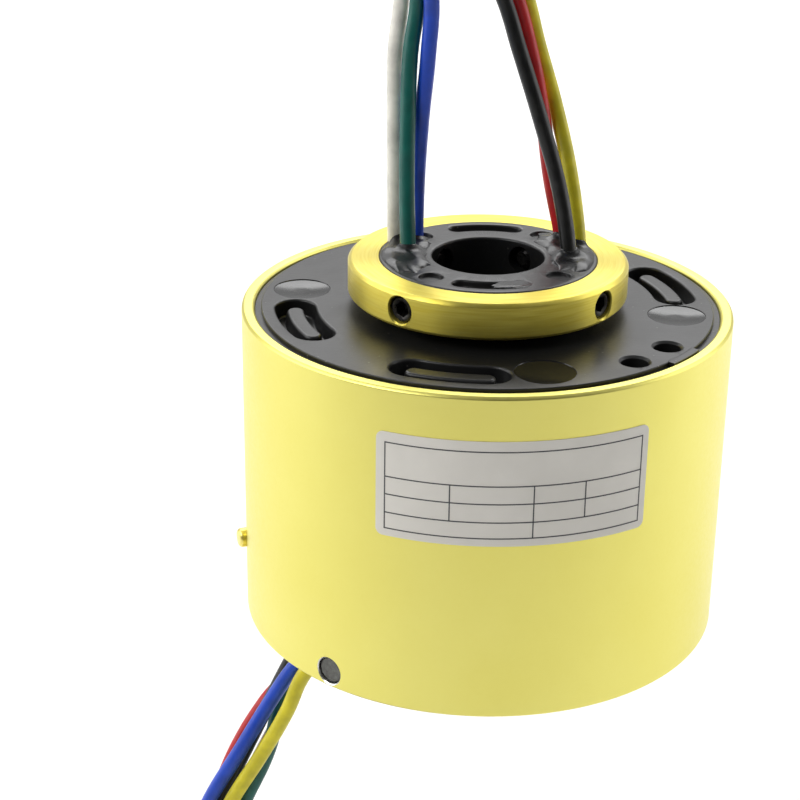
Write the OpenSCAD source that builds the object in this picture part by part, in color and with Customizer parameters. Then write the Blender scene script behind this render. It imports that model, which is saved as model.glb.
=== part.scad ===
/* [Housing] */
// Outer diameter of the housing tube
housing_d = 56; // [55:0.5:64]
// Height of the housing tube
housing_h = 38; // [36:0.5:60]
// Wall thickness of the housing tube
housing_wall = 1.5; // [1:0.1:2]
// Chamfer on the four rims of the housing tube
rim_chamfer = 0.3; // [0.1:0.05:0.45]

/* [Rotor core] */
// Bore that the machine's shaft goes through
bore_d = 12.7; // [10:0.1:13]
// Outer diameter of the core, which the bearings and rings sit on
core_d = 20; // [19.4:0.1:20.4]
// Diameter of the head at the core's upper end, inside the collar
head_d = 24.8; // [24:0.1:26]
// How far the head's face stands above the collar
head_proud = 0.1; // [0:0.05:0.5]
// Running gap between the upper end cap and the head
head_gap = 0.3; // [0.2:0.1:0.9]
// How far the core's lower end stands below the housing
core_tail = 0.6; // [0.4:0.1:1.5]
// Chamfer at both mouths of the bore
bore_chamfer = 0.3; // [0.1:0.05:0.5]
// Diameter of the four round pockets in the head's face
pocket_d = 2.7; // [2:0.1:3]
// Depth of the round pockets
pocket_depth = 0.4; // [0.2:0.05:0.45]
// Circle on which the pockets lie
pocket_circle_d = 20; // [18:0.5:21]
// Direction of the first pocket
pocket_turn = 49; // [45:1:53]

/* [Shaft collar] */
// Outer diameter of the collar
collar_d = 31.8; // [30:0.2:36]
// Height of the collar
collar_h = 4.2; // [4:0.1:8]
// Running gap between the upper end cap and the collar
collar_gap = 1.3; // [1:0.1:3]
// Chamfer on the collar's outer edges
collar_chamfer = 0.4; // [0.2:0.05:0.6]
// Thread diameter of the collar's set screws
set_screw_d = 3; // [2:0.5:3]
// Number of set screws round the collar
set_screw_count = 4; // [2, 3, 4]
// Direction of the first set screw
set_screw_turn = 51; // [48:1:54]
// Gap between the screw tips and the shaft bore, with the screws backed off
set_screw_back_off = 0.4; // [0.2:0.1:1]

/* [Bearings] */
// Outer diameter of both ball bearings
bearing_od = 27; // [26.6:0.1:28]
// Width of both ball bearings
bearing_w = 4; // [3.6:0.1:5]
// Number of balls in each bearing
ball_count = 16; // [10:1:16]

/* [Contact rings] */
// Outer diameter of the contact rings
ring_d = 29; // [27:0.2:29.4]
// Width of one contact ring
ring_w = 2.6; // [2.2:0.1:2.8]
// Diameter of the barrier flanges between the rings
barrier_d = 32; // [31:0.5:33]
// Thickness of the barriers between the rings
barrier_w = 1; // [0.8:0.1:1.2]
// Width of the track turned into each contact ring
track_w = 1.2; // [0.9:0.1:1.6]
// Depth of the track turned into each contact ring
track_depth = 0.5; // [0.3:0.05:0.7]

/* [Brush gear] */
// Diameter of the brush wires
brush_d = 0.5; // [0.3:0.05:0.6]
// Gap left between a brush wire and its track
brush_gap = 0.1; // [0.05:0.01:0.15]
// How far the brush wires reach past the rotor's centre line
brush_reach = 5; // [2:0.5:8]
// Thickness of the brush board
board_t = 1.6; // [1:0.1:2]
// Direction in which the brush board lies
board_turn = 200; // [196:1:204]
// Width of the bracket behind the brush board
bracket_w = 19; // [18:0.5:22]
// Diameter of the pin that fixes the bracket to the housing
bracket_pin_d = 2.3; // [1.6:0.1:2.5]
// Height of that pin above the housing's lower rim
bracket_pin_z = 8.65; // [8:0.05:12]
// How far the pin stands out of the housing
bracket_pin_proud = 1; // [0.5:0.1:1.5]

/* [End caps] */
// Depth of the upper cap's face below the housing's rim
cap_recess = 0; // [0:0.05:0.5]
// Thickness of the lip over each bearing's outer race
cap_lip = 1; // [0.6:0.1:1.5]
// Depth of the lower cap's face inside the housing's rim
lower_recess = 0.25; // [0.1:0.05:0.6]
// Thickness of the lip under the lower bearing
lower_lip = 1.75; // [1.5:0.05:2.5]
// Thickness of the lower cap's plate
lower_cap_t = 4.25; // [4:0.05:4.6]
// Width of the curved recesses in the upper cap
recess_w = 4.6; // [4:0.1:5]
// Depth of the curved recesses
recess_depth = 2; // [1:0.1:3]
// Circle on which the curved recesses lie
recess_circle_d = 43.8; // [43:0.1:44.4]
// Width of the rib inside each curved recess
rib_w = 1.9; // [1:0.1:2.2]
// Diameter of the shallow dished marks in the upper cap
mark_d = 6.6; // [4:0.1:6.6]
// Depth of the shallow dished marks at their middle
mark_depth = 0.35; // [0.1:0.05:0.8]
// Diameter of the two tapped holes for an anti-rotation tab
tab_hole_d = 3; // [2:0.5:4]
// Depth of the tapped holes
tab_hole_depth = 4; // [2:0.1:4.2]
// Circle on which the tapped holes lie
tab_circle_d = 46.5; // [45:0.1:46.6]
// Diameter of the screws that fix the lower cap
cap_screw_d = 3; // [2:0.5:3]
// Height of those screws above the housing's lower rim
cap_screw_z = 2.05; // [2:0.05:2.4]

/* [Label] */
// Length of the label round the housing
label_len = 30; // [20:0.5:40]
// Height of the label
label_h = 12; // [8:0.5:16]
// Thickness of the label
label_t = 0.1; // [0.05:0.05:0.3]
// Height of the label's middle above the housing's lower rim
label_z = 27.1; // [10:0.5:29]

/* [Leads] */
// Diameter of each lead over its insulation
lead_d = 1.8; // [1.2:0.1:1.9]
// Spacing of the leads where they leave the lower cap
lead_pitch = 1.95; // [1.95:0.05:2.1]
// Diameter of the bare wires inside the slip ring
wire_d = 1; // [0.6:0.1:1.1]
// Height of the potting above the head's face
potting_proud = 0.4; // [0.2:0.1:0.8]
// Thickness of the cable ties round the coils
tie_t = 1; // [0.6:0.1:1]
// Width of the cable ties
tie_w = 2.5; // [2:0.1:4]

/* [Hidden] */
$fn = 96;
ring_count = 6;
ALL_RINGS = [1 : ring_count];
ALL_BARRIERS = [1 : ring_count - 1];
LEADS = ["white", "green", "blue", "black", "red", "yellow"];

// Housing and end caps
eps = 0.5;
housing_r = housing_d / 2;
inner_r = housing_r - housing_wall;
cap_fit = 0.05;
cap_r = inner_r - cap_fit;
cap_top = housing_h - cap_recess;
cap_skirt = 0.3;

// Bearings
core_r = core_d / 2;
bearing_r = bearing_od / 2;
bearing_section = bearing_r - core_r;
race_t = 0.3 * bearing_section;
ball_d = 0.617 * bearing_section;
cage_t = 0.25 * bearing_section;
inner_race_r = core_r + race_t;
outer_race_r = bearing_r - race_t;
cap_lip_r = outer_race_r;
lower_lip_r = outer_race_r - 0.4 * race_t;
ball_circle_r = (inner_race_r + outer_race_r) / 2;
ball_play = 0.06;
upper_bearing_z = cap_top - cap_lip - bearing_w;
lower_bearing_z = lower_recess + lower_lip;
upper_cap_z = upper_bearing_z - cap_skirt;
boss_r = bearing_r + 1.7;
boss_top = lower_bearing_z + bearing_w - 0.5;
lower_cap_top = lower_recess + lower_cap_t;

// Rotor core and collar
bore_r = bore_d / 2;
head_r = head_d / 2;
collar_r = collar_d / 2;
collar_z = cap_top + collar_gap;
collar_top = collar_z + collar_h;
collar_mid = collar_z + collar_h / 2;
head_z = cap_top + head_gap;
head_top = collar_top + head_proud;
shoulder_r = inner_race_r;
screw_play = 0.05;
head_hole_play = 0.1;
window_half = 27;
window_in_r = bore_r + 1.85;
window_out_r = head_r - 0.8;
window_depth = 3;
window_floor = head_top - window_depth;
mound_half = 38;
mound_in_r = bore_r + 1.2;
mound_out_r = head_r - 0.25;
face_slot_half = 19;
face_slot_w = 2;
face_slot_depth = 0.8;
clip_t = 0.9;
clip_r = core_r + 1.15 * race_t;
clip_groove = 0.5;
clip_z = lower_bearing_z - clip_t - screw_play;

// Contact rings, stacked midway between the bearings
ring_r = ring_d / 2;
barrier_r = barrier_d / 2;
ring_pitch = ring_w + barrier_w;
stack_z = lower_bearing_z + bearing_w;
stack_top = upper_bearing_z;
stack_mid = (stack_z + stack_top) / 2;
first_ring_z = stack_mid - (ring_count * ring_pitch - barrier_w) / 2;
last_ring_top = stack_mid + (ring_count * ring_pitch - barrier_w) / 2;
track_r = ring_r - track_depth;
end_flange_t = 1.2;
wire_r = wire_d / 2;
wire_play = 0.15;
wire_circle_r = core_r - wire_r - 0.2;
wire_step = 18;

// Brush gear, drawn with the board on +Y and then turned into place
brush_x = track_r + brush_d / 2 + brush_gap;
brush_room = inner_r - barrier_r;
board_y = barrier_r + 0.23 * brush_room;
board_back = board_y + board_t;
board_half = sqrt(inner_r * inner_r - board_back * board_back) - 1.5;
board_margin = 1.6;
board_z = first_ring_z - board_margin;
board_top = last_ring_top + board_margin;
brush_foot = [1.9, 1.2, 1.8];
lead_row_y = board_back + wire_r + screw_play;
lead_row_half = (len(LEADS) - 1) / 2;
bracket_x = 0.38 * bracket_w;
board_screw_z = board_top - 4.4;
board_screw_d = 1.7;
bracket_depth = sqrt(cap_r * cap_r - bracket_x * bracket_x) - board_back;
board_screw_hole = 0.85 * bracket_depth;
board_screw_bite = 0.65 * bracket_depth;
pin_bite = 0.6 * bracket_depth;
notch_half = lead_row_half * lead_pitch + wire_r + 0.2;
notch_top = board_z + 3.9;
gland_z = -0.4;

// Upper cap's face: directions of its recesses, marks and tapped holes
recess_turns = [16.7, 77, 197.2, 257.8];
recess_half = 11;
recess_r = recess_circle_d / 2;
rib_half = 10.2;
rib_drop = 0.3;
mark_turns = [-75.6, -9.8, 170.6];
mark_circle_r = 21.6;
mark_ball_r = (mark_d * mark_d / 4 + mark_depth * mark_depth) / (2 * mark_depth);
tab_turns = [-49.5, -34.8];
tab_hole_mouth = 0.25;
rim_groove_w = 0.7;
rim_groove_depth = 0.5;
rim_key_turn = -37.7;
rim_key_span = 11.3;
label_turn = -85.1;
cap_screw_turns = [-128.3, -8.3, 111.7];
cap_screw_len = 5;
cap_screw_sink = 0.35;

// Leads: the upper routes stand on the potting, the lower ones hang from the gland
lead_r = lead_d / 2;
lead_sides = 8;
lead_pack = 1.9;
coil_in_r = 8.05;
coil_out_r = coil_in_r + 3 * lead_pack;
rotor_routes = [
    [[-10.6, 5, 0], [-10.7, 5.8, 6.5], [-10.8, 6.8, 14], [-10.8, 7.7, 21], [-10.2, 8.4, 28], [-11.3, 6, 34]],
    [[-9.1, 0.9, 0], [-9.3, 2.9, 6.5], [-9.3, 4.7, 14], [-9.1, 6.2, 21], [-8.4, 7, 28], [-9.8, 4.8, 34]],
    [[-8.2, 5.8, 0], [-8.1, 6.2, 6.5], [-7.7, 6.1, 14], [-7.1, 6, 21], [-6.9, 5.8, 28], [-8.3, 3.5, 34]],
    [[9.1, -0.3, 0], [8, 2.3, 6.5], [5.7, 5.6, 14], [3.3, 7.9, 21], [1, 9.1, 27.5], [-2.9, 8.5, 34.2]],
    [[8.7, 5.9, 0], [7.3, 7.6, 6.5], [6.1, 9, 14], [4.5, 10.2, 21], [2.4, 10.8, 27.5], [-1.4, 10.8, 34.2]],
    [[10.5, 3.6, 0], [9.6, 6.1, 6.5], [7.8, 10.1, 14], [5.6, 11.8, 21], [3.6, 12.4, 27.5],
        [-0.2, 12.8, 34.2]]
];
rotor_coil_z = 33.6;
rotor_coil_in_h = 18;
rotor_coil_out_h = 13.4;
stator_routes = [
    [[-20.1, -4, -5.6], [-23, -6, -12.3], [-26.2, -7.3, -18.5], [-29.2, -8.3, -25],
        [-32.8, -9.8, -35], [-35.4, -10.6, -44]],
    [[-21.7, -7.6, -6.2], [-23.9, -8.3, -11.5], [-25.1, -9.5, -16.4], [-28.1, -10.5, -23.3],
        [-32.3, -11.9, -33.5], [-35.4, -12.5, -44]],
    [[-22.2, -9.6, -5.3], [-25.1, -10, -10], [-28.5, -11, -15.8], [-32.3, -11.5, -22.6],
        [-36.3, -12.3, -32.5], [-39.2, -12.5, -43.5]],
    [[-22.5, -5.7, -6.2], [-25.2, -7, -11.5], [-28.2, -8.6, -17.5], [-31.2, -9.6, -23.9],
        [-34.4, -10.4, -34], [-37.3, -10.6, -44]],
    [[-22.8, -3.5, -8.9], [-25.9, -5.3, -12.6], [-29, -6.7, -17.6], [-32.1, -7.9, -25], [-36.4, -9.2, -34.6],
        [-39.2, -10.6, -43.5]],
    [[-20.9, -11.4, -5.2], [-22.7, -11.8, -9.6], [-25.9, -12.1, -15.7], [-29.5, -12.5, -21.9],
        [-34, -12.6, -32], [-37.3, -12.5, -44]]
];
stator_slots = [-2, 1, 2, 0, -3, 3];
stator_coil_at = [-27, -13.4, -48];
stator_coil_in_h = 17.4;
stator_coil_out_h = 13.2;

function ring_z(n) = first_ring_z + (n - 1) * ring_pitch;
function ring_mid(n) = ring_z(n) + ring_w / 2;
function wire_turn(n) = (n % 2) * 180 + (floor((n - 1) / 2) - 1) * wire_step;
function lead_row_x(k) = (k - lead_row_half) * lead_pitch;
function turned(x, y, a) = [x * cos(a) - y * sin(a), x * sin(a) + y * cos(a)];

// Row of leads under the lower cap, counted from the back to the front
lead_order = [1, 3, 4, 2, 0, 5];
function gland_exit(k) =
    let (p = turned(-lead_row_x(lead_order[k]), lead_row_y, board_turn - 90))
    [p[0], p[1], gland_z];

// One ring of a tube: level at both ends, square to the route between them
function unit(v) = v / norm(v);
function tube_dir(path, i) =
    (i == 0 || i == len(path) - 1) ? [0, 0, 1] : unit(path[i + 1] - path[i - 1]);
function upright(d) = d[2] < 0 ? -d : d;
function tube_ring(path, i, r) =
    let (d = upright(tube_dir(path, i)))
    let (u = unit(cross([0, 1, 0], d)))
    let (v = cross(d, u))
    [for (s = [0 : lead_sides - 1])
        path[i] + r * (cos(s * 360 / lead_sides) * u + sin(s * 360 / lead_sides) * v)];

module tube(path, r) {
    upward = path[len(path) - 1][2] > path[0][2];
    route = upward ? path : [for (i = [len(path) - 1 : -1 : 0]) path[i]];
    last = len(route) - 1;
    polyhedron(
        points = [for (i = [0 : last]) each tube_ring(route, i, r)],
        faces = concat(
            [[for (s = [0 : lead_sides - 1]) s]],
            [for (i = [0 : last - 1]) for (s = [0 : lead_sides - 1])
                let (a = i * lead_sides + s)
                let (b = i * lead_sides + (s + 1) % lead_sides)
                [a, a + lead_sides, b + lead_sides, b]],
            [[for (s = [lead_sides - 1 : -1 : 0]) last * lead_sides + s]]
        )
    );
}

// A ring of rectangular section about the z axis
module ring(in_r, out_r, z, h) {
    rotate_extrude() translate([in_r, z]) square([out_r - in_r, h]);
}

// Part of a ring, centred on a direction
module arc(in_r, out_r, z, h, turn, half) {
    rotate([0, 0, turn - half])
        rotate_extrude(angle = 2 * half)
            translate([in_r, z]) square([out_r - in_r, h]);
}

// A curved slot with round ends, as a flat outline
module arc_slot(mid_r, w, half) {
    steps = 8;
    in_r = mid_r - w / 2;
    out_r = mid_r + w / 2;
    polygon(concat(
        [for (i = [0 : steps]) let (a = -half + 2 * half * i / steps) out_r * [cos(a), sin(a)]],
        [for (i = [1 : steps - 1]) let (a = 180 * i / steps)
            mid_r * [cos(half), sin(half)] + w / 2 * [cos(half + a), sin(half + a)]],
        [for (i = [0 : steps]) let (a = half - 2 * half * i / steps) in_r * [cos(a), sin(a)]],
        [for (i = [1 : steps - 1]) let (a = 180 + 180 * i / steps)
            mid_r * [cos(-half), sin(-half)] + w / 2 * [cos(-half + a), sin(-half + a)]]
    ));
}

module at_board() {
    rotate([0, 0, board_turn - 90]) children();
}

module radial(turn, r, z) {
    rotate([0, 0, turn]) translate([r, 0, z]) rotate([0, 90, 0]) children();
}

// ---- rotor ----

module rotor_core() {
    color([0.07, 0.07, 0.08])
    difference() {
        rotate_extrude() polygon([
            [bore_r, bore_chamfer - core_tail], [bore_r + bore_chamfer, -core_tail],
            [core_r - bore_chamfer, -core_tail], [core_r, bore_chamfer - core_tail],
            [core_r, upper_bearing_z + bearing_w], [shoulder_r, upper_bearing_z + bearing_w],
            [shoulder_r, head_z], [head_r, head_z], [head_r, head_top - bore_chamfer],
            [head_r - bore_chamfer, head_top], [bore_r + bore_chamfer, head_top],
            [bore_r, head_top - bore_chamfer]
        ]);
        ring(core_r - clip_groove, core_r + eps, clip_z - screw_play, clip_t + 2 * screw_play);
        for (turn = [0, 180])
            arc(window_in_r, window_out_r, window_floor, window_depth + eps, turn, window_half);
        for (turn = [90, 270])
            translate([0, 0, head_top - face_slot_depth])
                rotate([0, 0, turn])
                    linear_extrude(face_slot_depth + eps)
                        arc_slot(pocket_circle_d / 2, face_slot_w, face_slot_half);
        for (k = [0 : 3])
            rotate([0, 0, pocket_turn + 90 * k])
                translate([pocket_circle_d / 2, 0, head_top - pocket_depth])
                    cylinder(d = pocket_d, h = pocket_depth + eps);
        for (k = [0 : set_screw_count - 1])
            radial(set_screw_turn + 360 * k / set_screw_count, bore_r - eps, collar_mid)
                cylinder(d = set_screw_d + 2 * head_hole_play, h = head_r - bore_r + 2 * eps);
        for (n = ALL_RINGS)
            rotate([0, 0, wire_turn(n)]) {
                translate([wire_circle_r, 0, first_ring_z])
                    cylinder(r = wire_r + wire_play, h = window_floor - first_ring_z + eps);
                translate([wire_circle_r, -wire_r - wire_play, first_ring_z])
                    cube([core_r, wire_d + 2 * wire_play, upper_bearing_z + bearing_w - first_ring_z]);
            }
    }
}

module clamp_collar() {
    color([0.86, 0.78, 0.36])
    difference() {
        rotate_extrude() polygon([
            [head_r, collar_z], [collar_r - collar_chamfer, collar_z],
            [collar_r, collar_z + collar_chamfer],
            [collar_r, collar_top - collar_chamfer], [collar_r - collar_chamfer, collar_top],
            [head_r, collar_top]
        ]);
        for (k = [0 : set_screw_count - 1])
            radial(set_screw_turn + 360 * k / set_screw_count, head_r - eps, collar_mid)
                cylinder(d = set_screw_d + 2 * screw_play, h = collar_r - head_r + 2 * eps);
    }
}

// Socket set screw from its tip to its head, along +Z
module set_screw(d, len) {
    socket_d = d * 0.577;
    socket_depth = d * 0.5;
    point = d * 0.2;
    difference() {
        union() {
            cylinder(d1 = d - 2 * point, d2 = d, h = point);
            translate([0, 0, point]) cylinder(d = d, h = len - 1.4 * point);
            translate([0, 0, len - 0.4 * point]) cylinder(d1 = d, d2 = d - 0.8 * point, h = 0.4 * point);
        }
        translate([0, 0, len - socket_depth]) cylinder(d = socket_d, h = socket_depth + eps, $fn = 6);
    }
}

module collar_set_screws() {
    tip_r = bore_r + set_screw_back_off;
    color([0.05, 0.05, 0.06])
    for (k = [0 : set_screw_count - 1])
        radial(set_screw_turn + 360 * k / set_screw_count, tip_r, collar_mid)
            set_screw(set_screw_d, collar_r - collar_chamfer / 2 - tip_r);
}

module rotor_retaining_ring() {
    gap_half = 14;
    color([0.5, 0.5, 0.52])
    arc(core_r - clip_groove + screw_play, clip_r, clip_z, clip_t, 90, 180 - gap_half);
}

module inner_race(z) {
    color([0.78, 0.79, 0.8])
    rotate_extrude() difference() {
        translate([core_r, z]) square([race_t, bearing_w]);
        translate([ball_circle_r, z + bearing_w / 2]) circle(r = ball_d / 2 + ball_play);
    }
}

module outer_race(z) {
    color([0.78, 0.79, 0.8])
    rotate_extrude() difference() {
        translate([outer_race_r, z]) square([race_t, bearing_w]);
        translate([ball_circle_r, z + bearing_w / 2]) circle(r = ball_d / 2 + ball_play);
    }
}

module contact_ring(n) {
    track_z = ring_mid(n) - track_w / 2;
    color([0.85, 0.68, 0.35])
    rotate_extrude() polygon([
        [core_r, ring_z(n)], [ring_r, ring_z(n)], [ring_r, track_z - track_depth / 2],
        [track_r, track_z], [track_r, track_z + track_w], [ring_r, track_z + track_w + track_depth / 2],
        [ring_r, ring_z(n) + ring_w], [core_r, ring_z(n) + ring_w]
    ]);
}

module ring_barrier(n) {
    color([0.12, 0.13, 0.15])
    ring(core_r, barrier_r, ring_z(n) + ring_w, barrier_w);
}

module end_barriers() {
    foot_r = inner_race_r + 0.1;
    color([0.12, 0.13, 0.15]) {
        rotate_extrude() polygon([
            [core_r, stack_z], [foot_r, stack_z], [foot_r, first_ring_z - end_flange_t],
            [barrier_r, first_ring_z - end_flange_t], [barrier_r, first_ring_z], [core_r, first_ring_z]
        ]);
        rotate_extrude() polygon([
            [core_r, stack_top], [foot_r, stack_top], [foot_r, last_ring_top + end_flange_t],
            [barrier_r, last_ring_top + end_flange_t], [barrier_r, last_ring_top], [core_r, last_ring_top]
        ]);
    }
}

module ring_wires() {
    color([0.8, 0.5, 0.3])
    for (n = ALL_RINGS)
        rotate([0, 0, wire_turn(n)])
            translate([wire_circle_r, 0, ring_mid(n)])
                cylinder(r = wire_r, h = window_floor - ring_mid(n));
}

module potting(turn) {
    color([0.05, 0.05, 0.055]) {
        arc(window_in_r, window_out_r, window_floor, window_depth, turn, window_half);
        arc(mound_in_r, mound_out_r - bore_chamfer, head_top, potting_proud, turn, mound_half);
    }
}

module rotor_lead(k) {
    lift = [0, 0, head_top + potting_proud];
    color(LEADS[k])
    tube([for (p = rotor_routes[k]) p + lift], lead_r);
}

// Section of a coil, wider at its start, and the same section grown for a tie
module coil_section(in_h, out_h, grow) {
    soft = 1.2;
    polygon([
        [coil_in_r - grow, soft - grow], [coil_in_r + soft, -grow],
        [coil_out_r - soft, -grow], [coil_out_r + grow, soft - grow],
        [coil_out_r + grow, out_h - soft + grow], [coil_out_r - soft, out_h + grow],
        [coil_in_r + soft, in_h + grow], [coil_in_r - grow, in_h - soft + grow]
    ]);
}

module coil(in_h, out_h) {
    rotate_extrude() coil_section(in_h, out_h, 0);
}

module coil_ties(in_h, out_h, turns) {
    half = tie_w / 2 / ((coil_in_r + coil_out_r) / 2) * 180 / PI;
    head = [2.2, 4, 3.4];
    color([0.1, 0.1, 0.1])
    for (turn = turns)
        rotate([0, 0, turn]) {
            rotate([0, 0, -half])
                rotate_extrude(angle = 2 * half) difference() {
                    coil_section(in_h, out_h, tie_t);
                    coil_section(in_h, out_h, 0);
                }
            translate([coil_out_r + tie_t / 2, -head[1] / 2, out_h / 2 - head[2] / 2]) cube(head);
        }
}

module at_rotor_coil() {
    translate([0, 0, head_top + potting_proud + rotor_coil_z]) children();
}

module rotor_lead_coil() {
    color([0.3, 0.5, 0.4])
    at_rotor_coil() coil(rotor_coil_in_h, rotor_coil_out_h);
}

module rotor_lead_ties() {
    at_rotor_coil() coil_ties(rotor_coil_in_h, rotor_coil_out_h, [20, 230]);
}

// ---- stator ----

module housing() {
    color([0.87, 0.8, 0.42])
    difference() {
        rotate_extrude() polygon([
            [inner_r, rim_chamfer], [inner_r + rim_chamfer, 0], [housing_r - rim_chamfer, 0],
            [housing_r, rim_chamfer], [housing_r, housing_h - rim_chamfer],
            [housing_r - rim_chamfer, housing_h], [inner_r + rim_chamfer, housing_h],
            [inner_r, housing_h - rim_chamfer]
        ]);
        for (turn = cap_screw_turns)
            radial(turn, inner_r - eps, cap_screw_z)
                cylinder(d = cap_screw_d + 2 * head_hole_play, h = housing_wall + 2 * eps);
        at_board()
            translate([bracket_x, inner_r - 4, bracket_pin_z]) rotate([-90, 0, 0])
                cylinder(d = bracket_pin_d + 2 * screw_play, h = housing_wall + 6);
    }
}

module upper_end_cap() {
    color([0.13, 0.13, 0.14])
    difference() {
        rotate_extrude() polygon([
            [bearing_r, upper_cap_z], [cap_r, upper_cap_z], [cap_r, cap_top], [cap_lip_r, cap_top],
            [cap_lip_r, cap_top - cap_lip], [bearing_r, cap_top - cap_lip]
        ]);
        for (turn = recess_turns)
            rotate([0, 0, turn]) {
                translate([0, 0, cap_top - recess_depth])
                    linear_extrude(recess_depth + eps) difference() {
                        arc_slot(recess_r, recess_w, recess_half);
                        arc_slot(recess_r, rib_w, rib_half);
                    }
                translate([0, 0, cap_top - rib_drop])
                    linear_extrude(rib_drop + eps) arc_slot(recess_r, recess_w - 1, recess_half);
            }
        for (turn = mark_turns)
            rotate([0, 0, turn]) translate([mark_circle_r, 0, cap_top - mark_depth + mark_ball_r])
                sphere(r = mark_ball_r);
        for (turn = tab_turns)
            rotate([0, 0, turn]) translate([tab_circle_d / 2, 0, cap_top - tab_hole_depth]) {
                cylinder(d = tab_hole_d, h = tab_hole_depth + eps);
                translate([0, 0, tab_hole_depth - tab_hole_mouth])
                    cylinder(d1 = tab_hole_d, d2 = tab_hole_d + 2 * tab_hole_mouth, h = tab_hole_mouth);
            }
        arc(cap_r - rim_groove_w, cap_r + eps, cap_top - rim_groove_depth, rim_groove_depth + eps,
            rim_key_turn + 180, 180 - rim_key_span / 2);
    }
}

// Slot in the lower cap that the row of leads comes through, and its filling
module gland_slot(z, h) {
    w = lead_d + 1;
    row = 2 * lead_row_half * lead_pitch;
    at_board()
        translate([0, lead_row_y, z]) linear_extrude(h) {
            square([row, w], center = true);
            for (side = [-1, 1]) translate([side * row / 2, 0]) circle(d = w);
        }
}

module lower_end_cap() {
    color([0.13, 0.13, 0.14])
    difference() {
        rotate_extrude() polygon([
            [lower_lip_r, lower_recess], [cap_r, lower_recess], [cap_r, lower_cap_top],
            [boss_r, lower_cap_top], [boss_r, boss_top], [bearing_r, boss_top],
            [bearing_r, lower_bearing_z], [lower_lip_r, lower_bearing_z]
        ]);
        gland_slot(lower_recess - eps, lower_cap_t + 2 * eps);
        for (turn = cap_screw_turns)
            radial(turn, housing_r - cap_screw_sink - cap_screw_len - eps, cap_screw_z)
                cylinder(d = cap_screw_d + 2 * screw_play, h = cap_screw_len + 2 * eps);
    }
}

module lower_cap_screws() {
    color([0.3, 0.31, 0.32])
    for (turn = cap_screw_turns)
        radial(turn, housing_r - cap_screw_sink - cap_screw_len, cap_screw_z) {
            cylinder(d = cap_screw_d, h = cap_screw_len - 0.2);
            translate([0, 0, cap_screw_len - 0.2])
                cylinder(d1 = cap_screw_d, d2 = cap_screw_d - 0.3, h = 0.2);
        }
}

module brush_board() {
    color([0.1, 0.35, 0.2])
    at_board()
        difference() {
            translate([-board_half, board_y, board_z])
                cube([2 * board_half, board_t, board_top - board_z]);
            for (side = [-1, 1])
                translate([side * bracket_x, board_y - eps, board_screw_z]) rotate([-90, 0, 0])
                    cylinder(d = board_screw_d + 6 * screw_play, h = board_t + 2 * eps);
        }
}

module board_bracket() {
    color([0.16, 0.16, 0.17])
    at_board()
        difference() {
            intersection() {
                translate([-bracket_w / 2, board_back, lower_cap_top])
                    cube([bracket_w, inner_r, upper_cap_z - lower_cap_top]);
                translate([0, 0, lower_cap_top]) cylinder(r = cap_r, h = upper_cap_z - lower_cap_top);
            }
            translate([-notch_half, board_back - eps, lower_cap_top - eps])
                cube([2 * notch_half, inner_r, notch_top - lower_cap_top + eps]);
            for (side = [-1, 1])
                translate([side * bracket_x, board_back - eps, board_screw_z]) rotate([-90, 0, 0])
                    cylinder(d = board_screw_d + 2 * screw_play, h = board_screw_hole + eps);
            translate([bracket_x, board_back + bracket_depth - pin_bite, bracket_pin_z]) rotate([-90, 0, 0])
                cylinder(d = bracket_pin_d + 2 * screw_play, h = inner_r);
        }
}

module board_screws() {
    head_d = 3.4;
    head_h = 1.1;
    color([0.7, 0.7, 0.72])
    at_board()
        for (side = [-1, 1])
            translate([side * bracket_x, board_y - head_h, board_screw_z]) rotate([-90, 0, 0])
                difference() {
                    union() {
                        cylinder(d = head_d, h = head_h);
                        cylinder(d = board_screw_d, h = head_h + board_t + board_screw_bite);
                    }
                    translate([-head_d / 2, -0.25, -eps]) cube([head_d, 0.5, eps + 0.5]);
                }
}

module bracket_pin() {
    root_y = board_back + bracket_depth - pin_bite + screw_play;
    tip_y = sqrt(housing_r * housing_r - bracket_x * bracket_x) + bracket_pin_proud;
    color([0.85, 0.74, 0.35])
    at_board()
        translate([bracket_x, root_y, bracket_pin_z]) rotate([-90, 0, 0]) {
            cylinder(d = bracket_pin_d, h = tip_y - root_y - 0.2);
            translate([0, 0, tip_y - root_y - 0.2])
                cylinder(d1 = bracket_pin_d, d2 = bracket_pin_d - 0.4, h = 0.2);
        }
}

module brush_pair(n) {
    color([0.85, 0.7, 0.3])
    at_board()
        for (side = [-1, 1])
            translate([side * brush_x, 0, ring_mid(n)]) {
                translate([0, board_y - brush_foot[1] / 2, 0]) cube(brush_foot, center = true);
                translate([0, -brush_reach, 0]) rotate([-90, 0, 0])
                    cylinder(d = brush_d, h = board_y - brush_foot[1] / 2 + brush_reach);
            }
}

module board_wires() {
    color([0.8, 0.5, 0.3])
    at_board()
        for (k = [0 : len(LEADS) - 1])
            translate([lead_row_x(k), lead_row_y, lower_cap_top])
                cylinder(r = wire_r, h = notch_top - lower_cap_top - 1);
}

module lead_gland() {
    color([0.05, 0.05, 0.055])
    gland_slot(gland_z, lower_cap_top - gland_z);
}

module label() {
    half = label_len / 2 / housing_r * 180 / PI;
    color([0.78, 0.78, 0.76])
    arc(housing_r, housing_r + label_t, label_z - label_h / 2, label_h, label_turn, half);
}

module stator_lead(k) {
    color(LEADS[k])
    tube(concat([gland_exit(k)], stator_routes[k]), lead_r);
}

module at_stator_coil() {
    translate(stator_coil_at) rotate([-90, 0, 0]) children();
}

module stator_lead_coil() {
    color([0.3, 0.5, 0.4])
    at_stator_coil() coil(stator_coil_in_h, stator_coil_out_h);
}

module stator_lead_ties() {
    at_stator_coil() coil_ties(stator_coil_in_h, stator_coil_out_h, [70, 265]);
}

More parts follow.
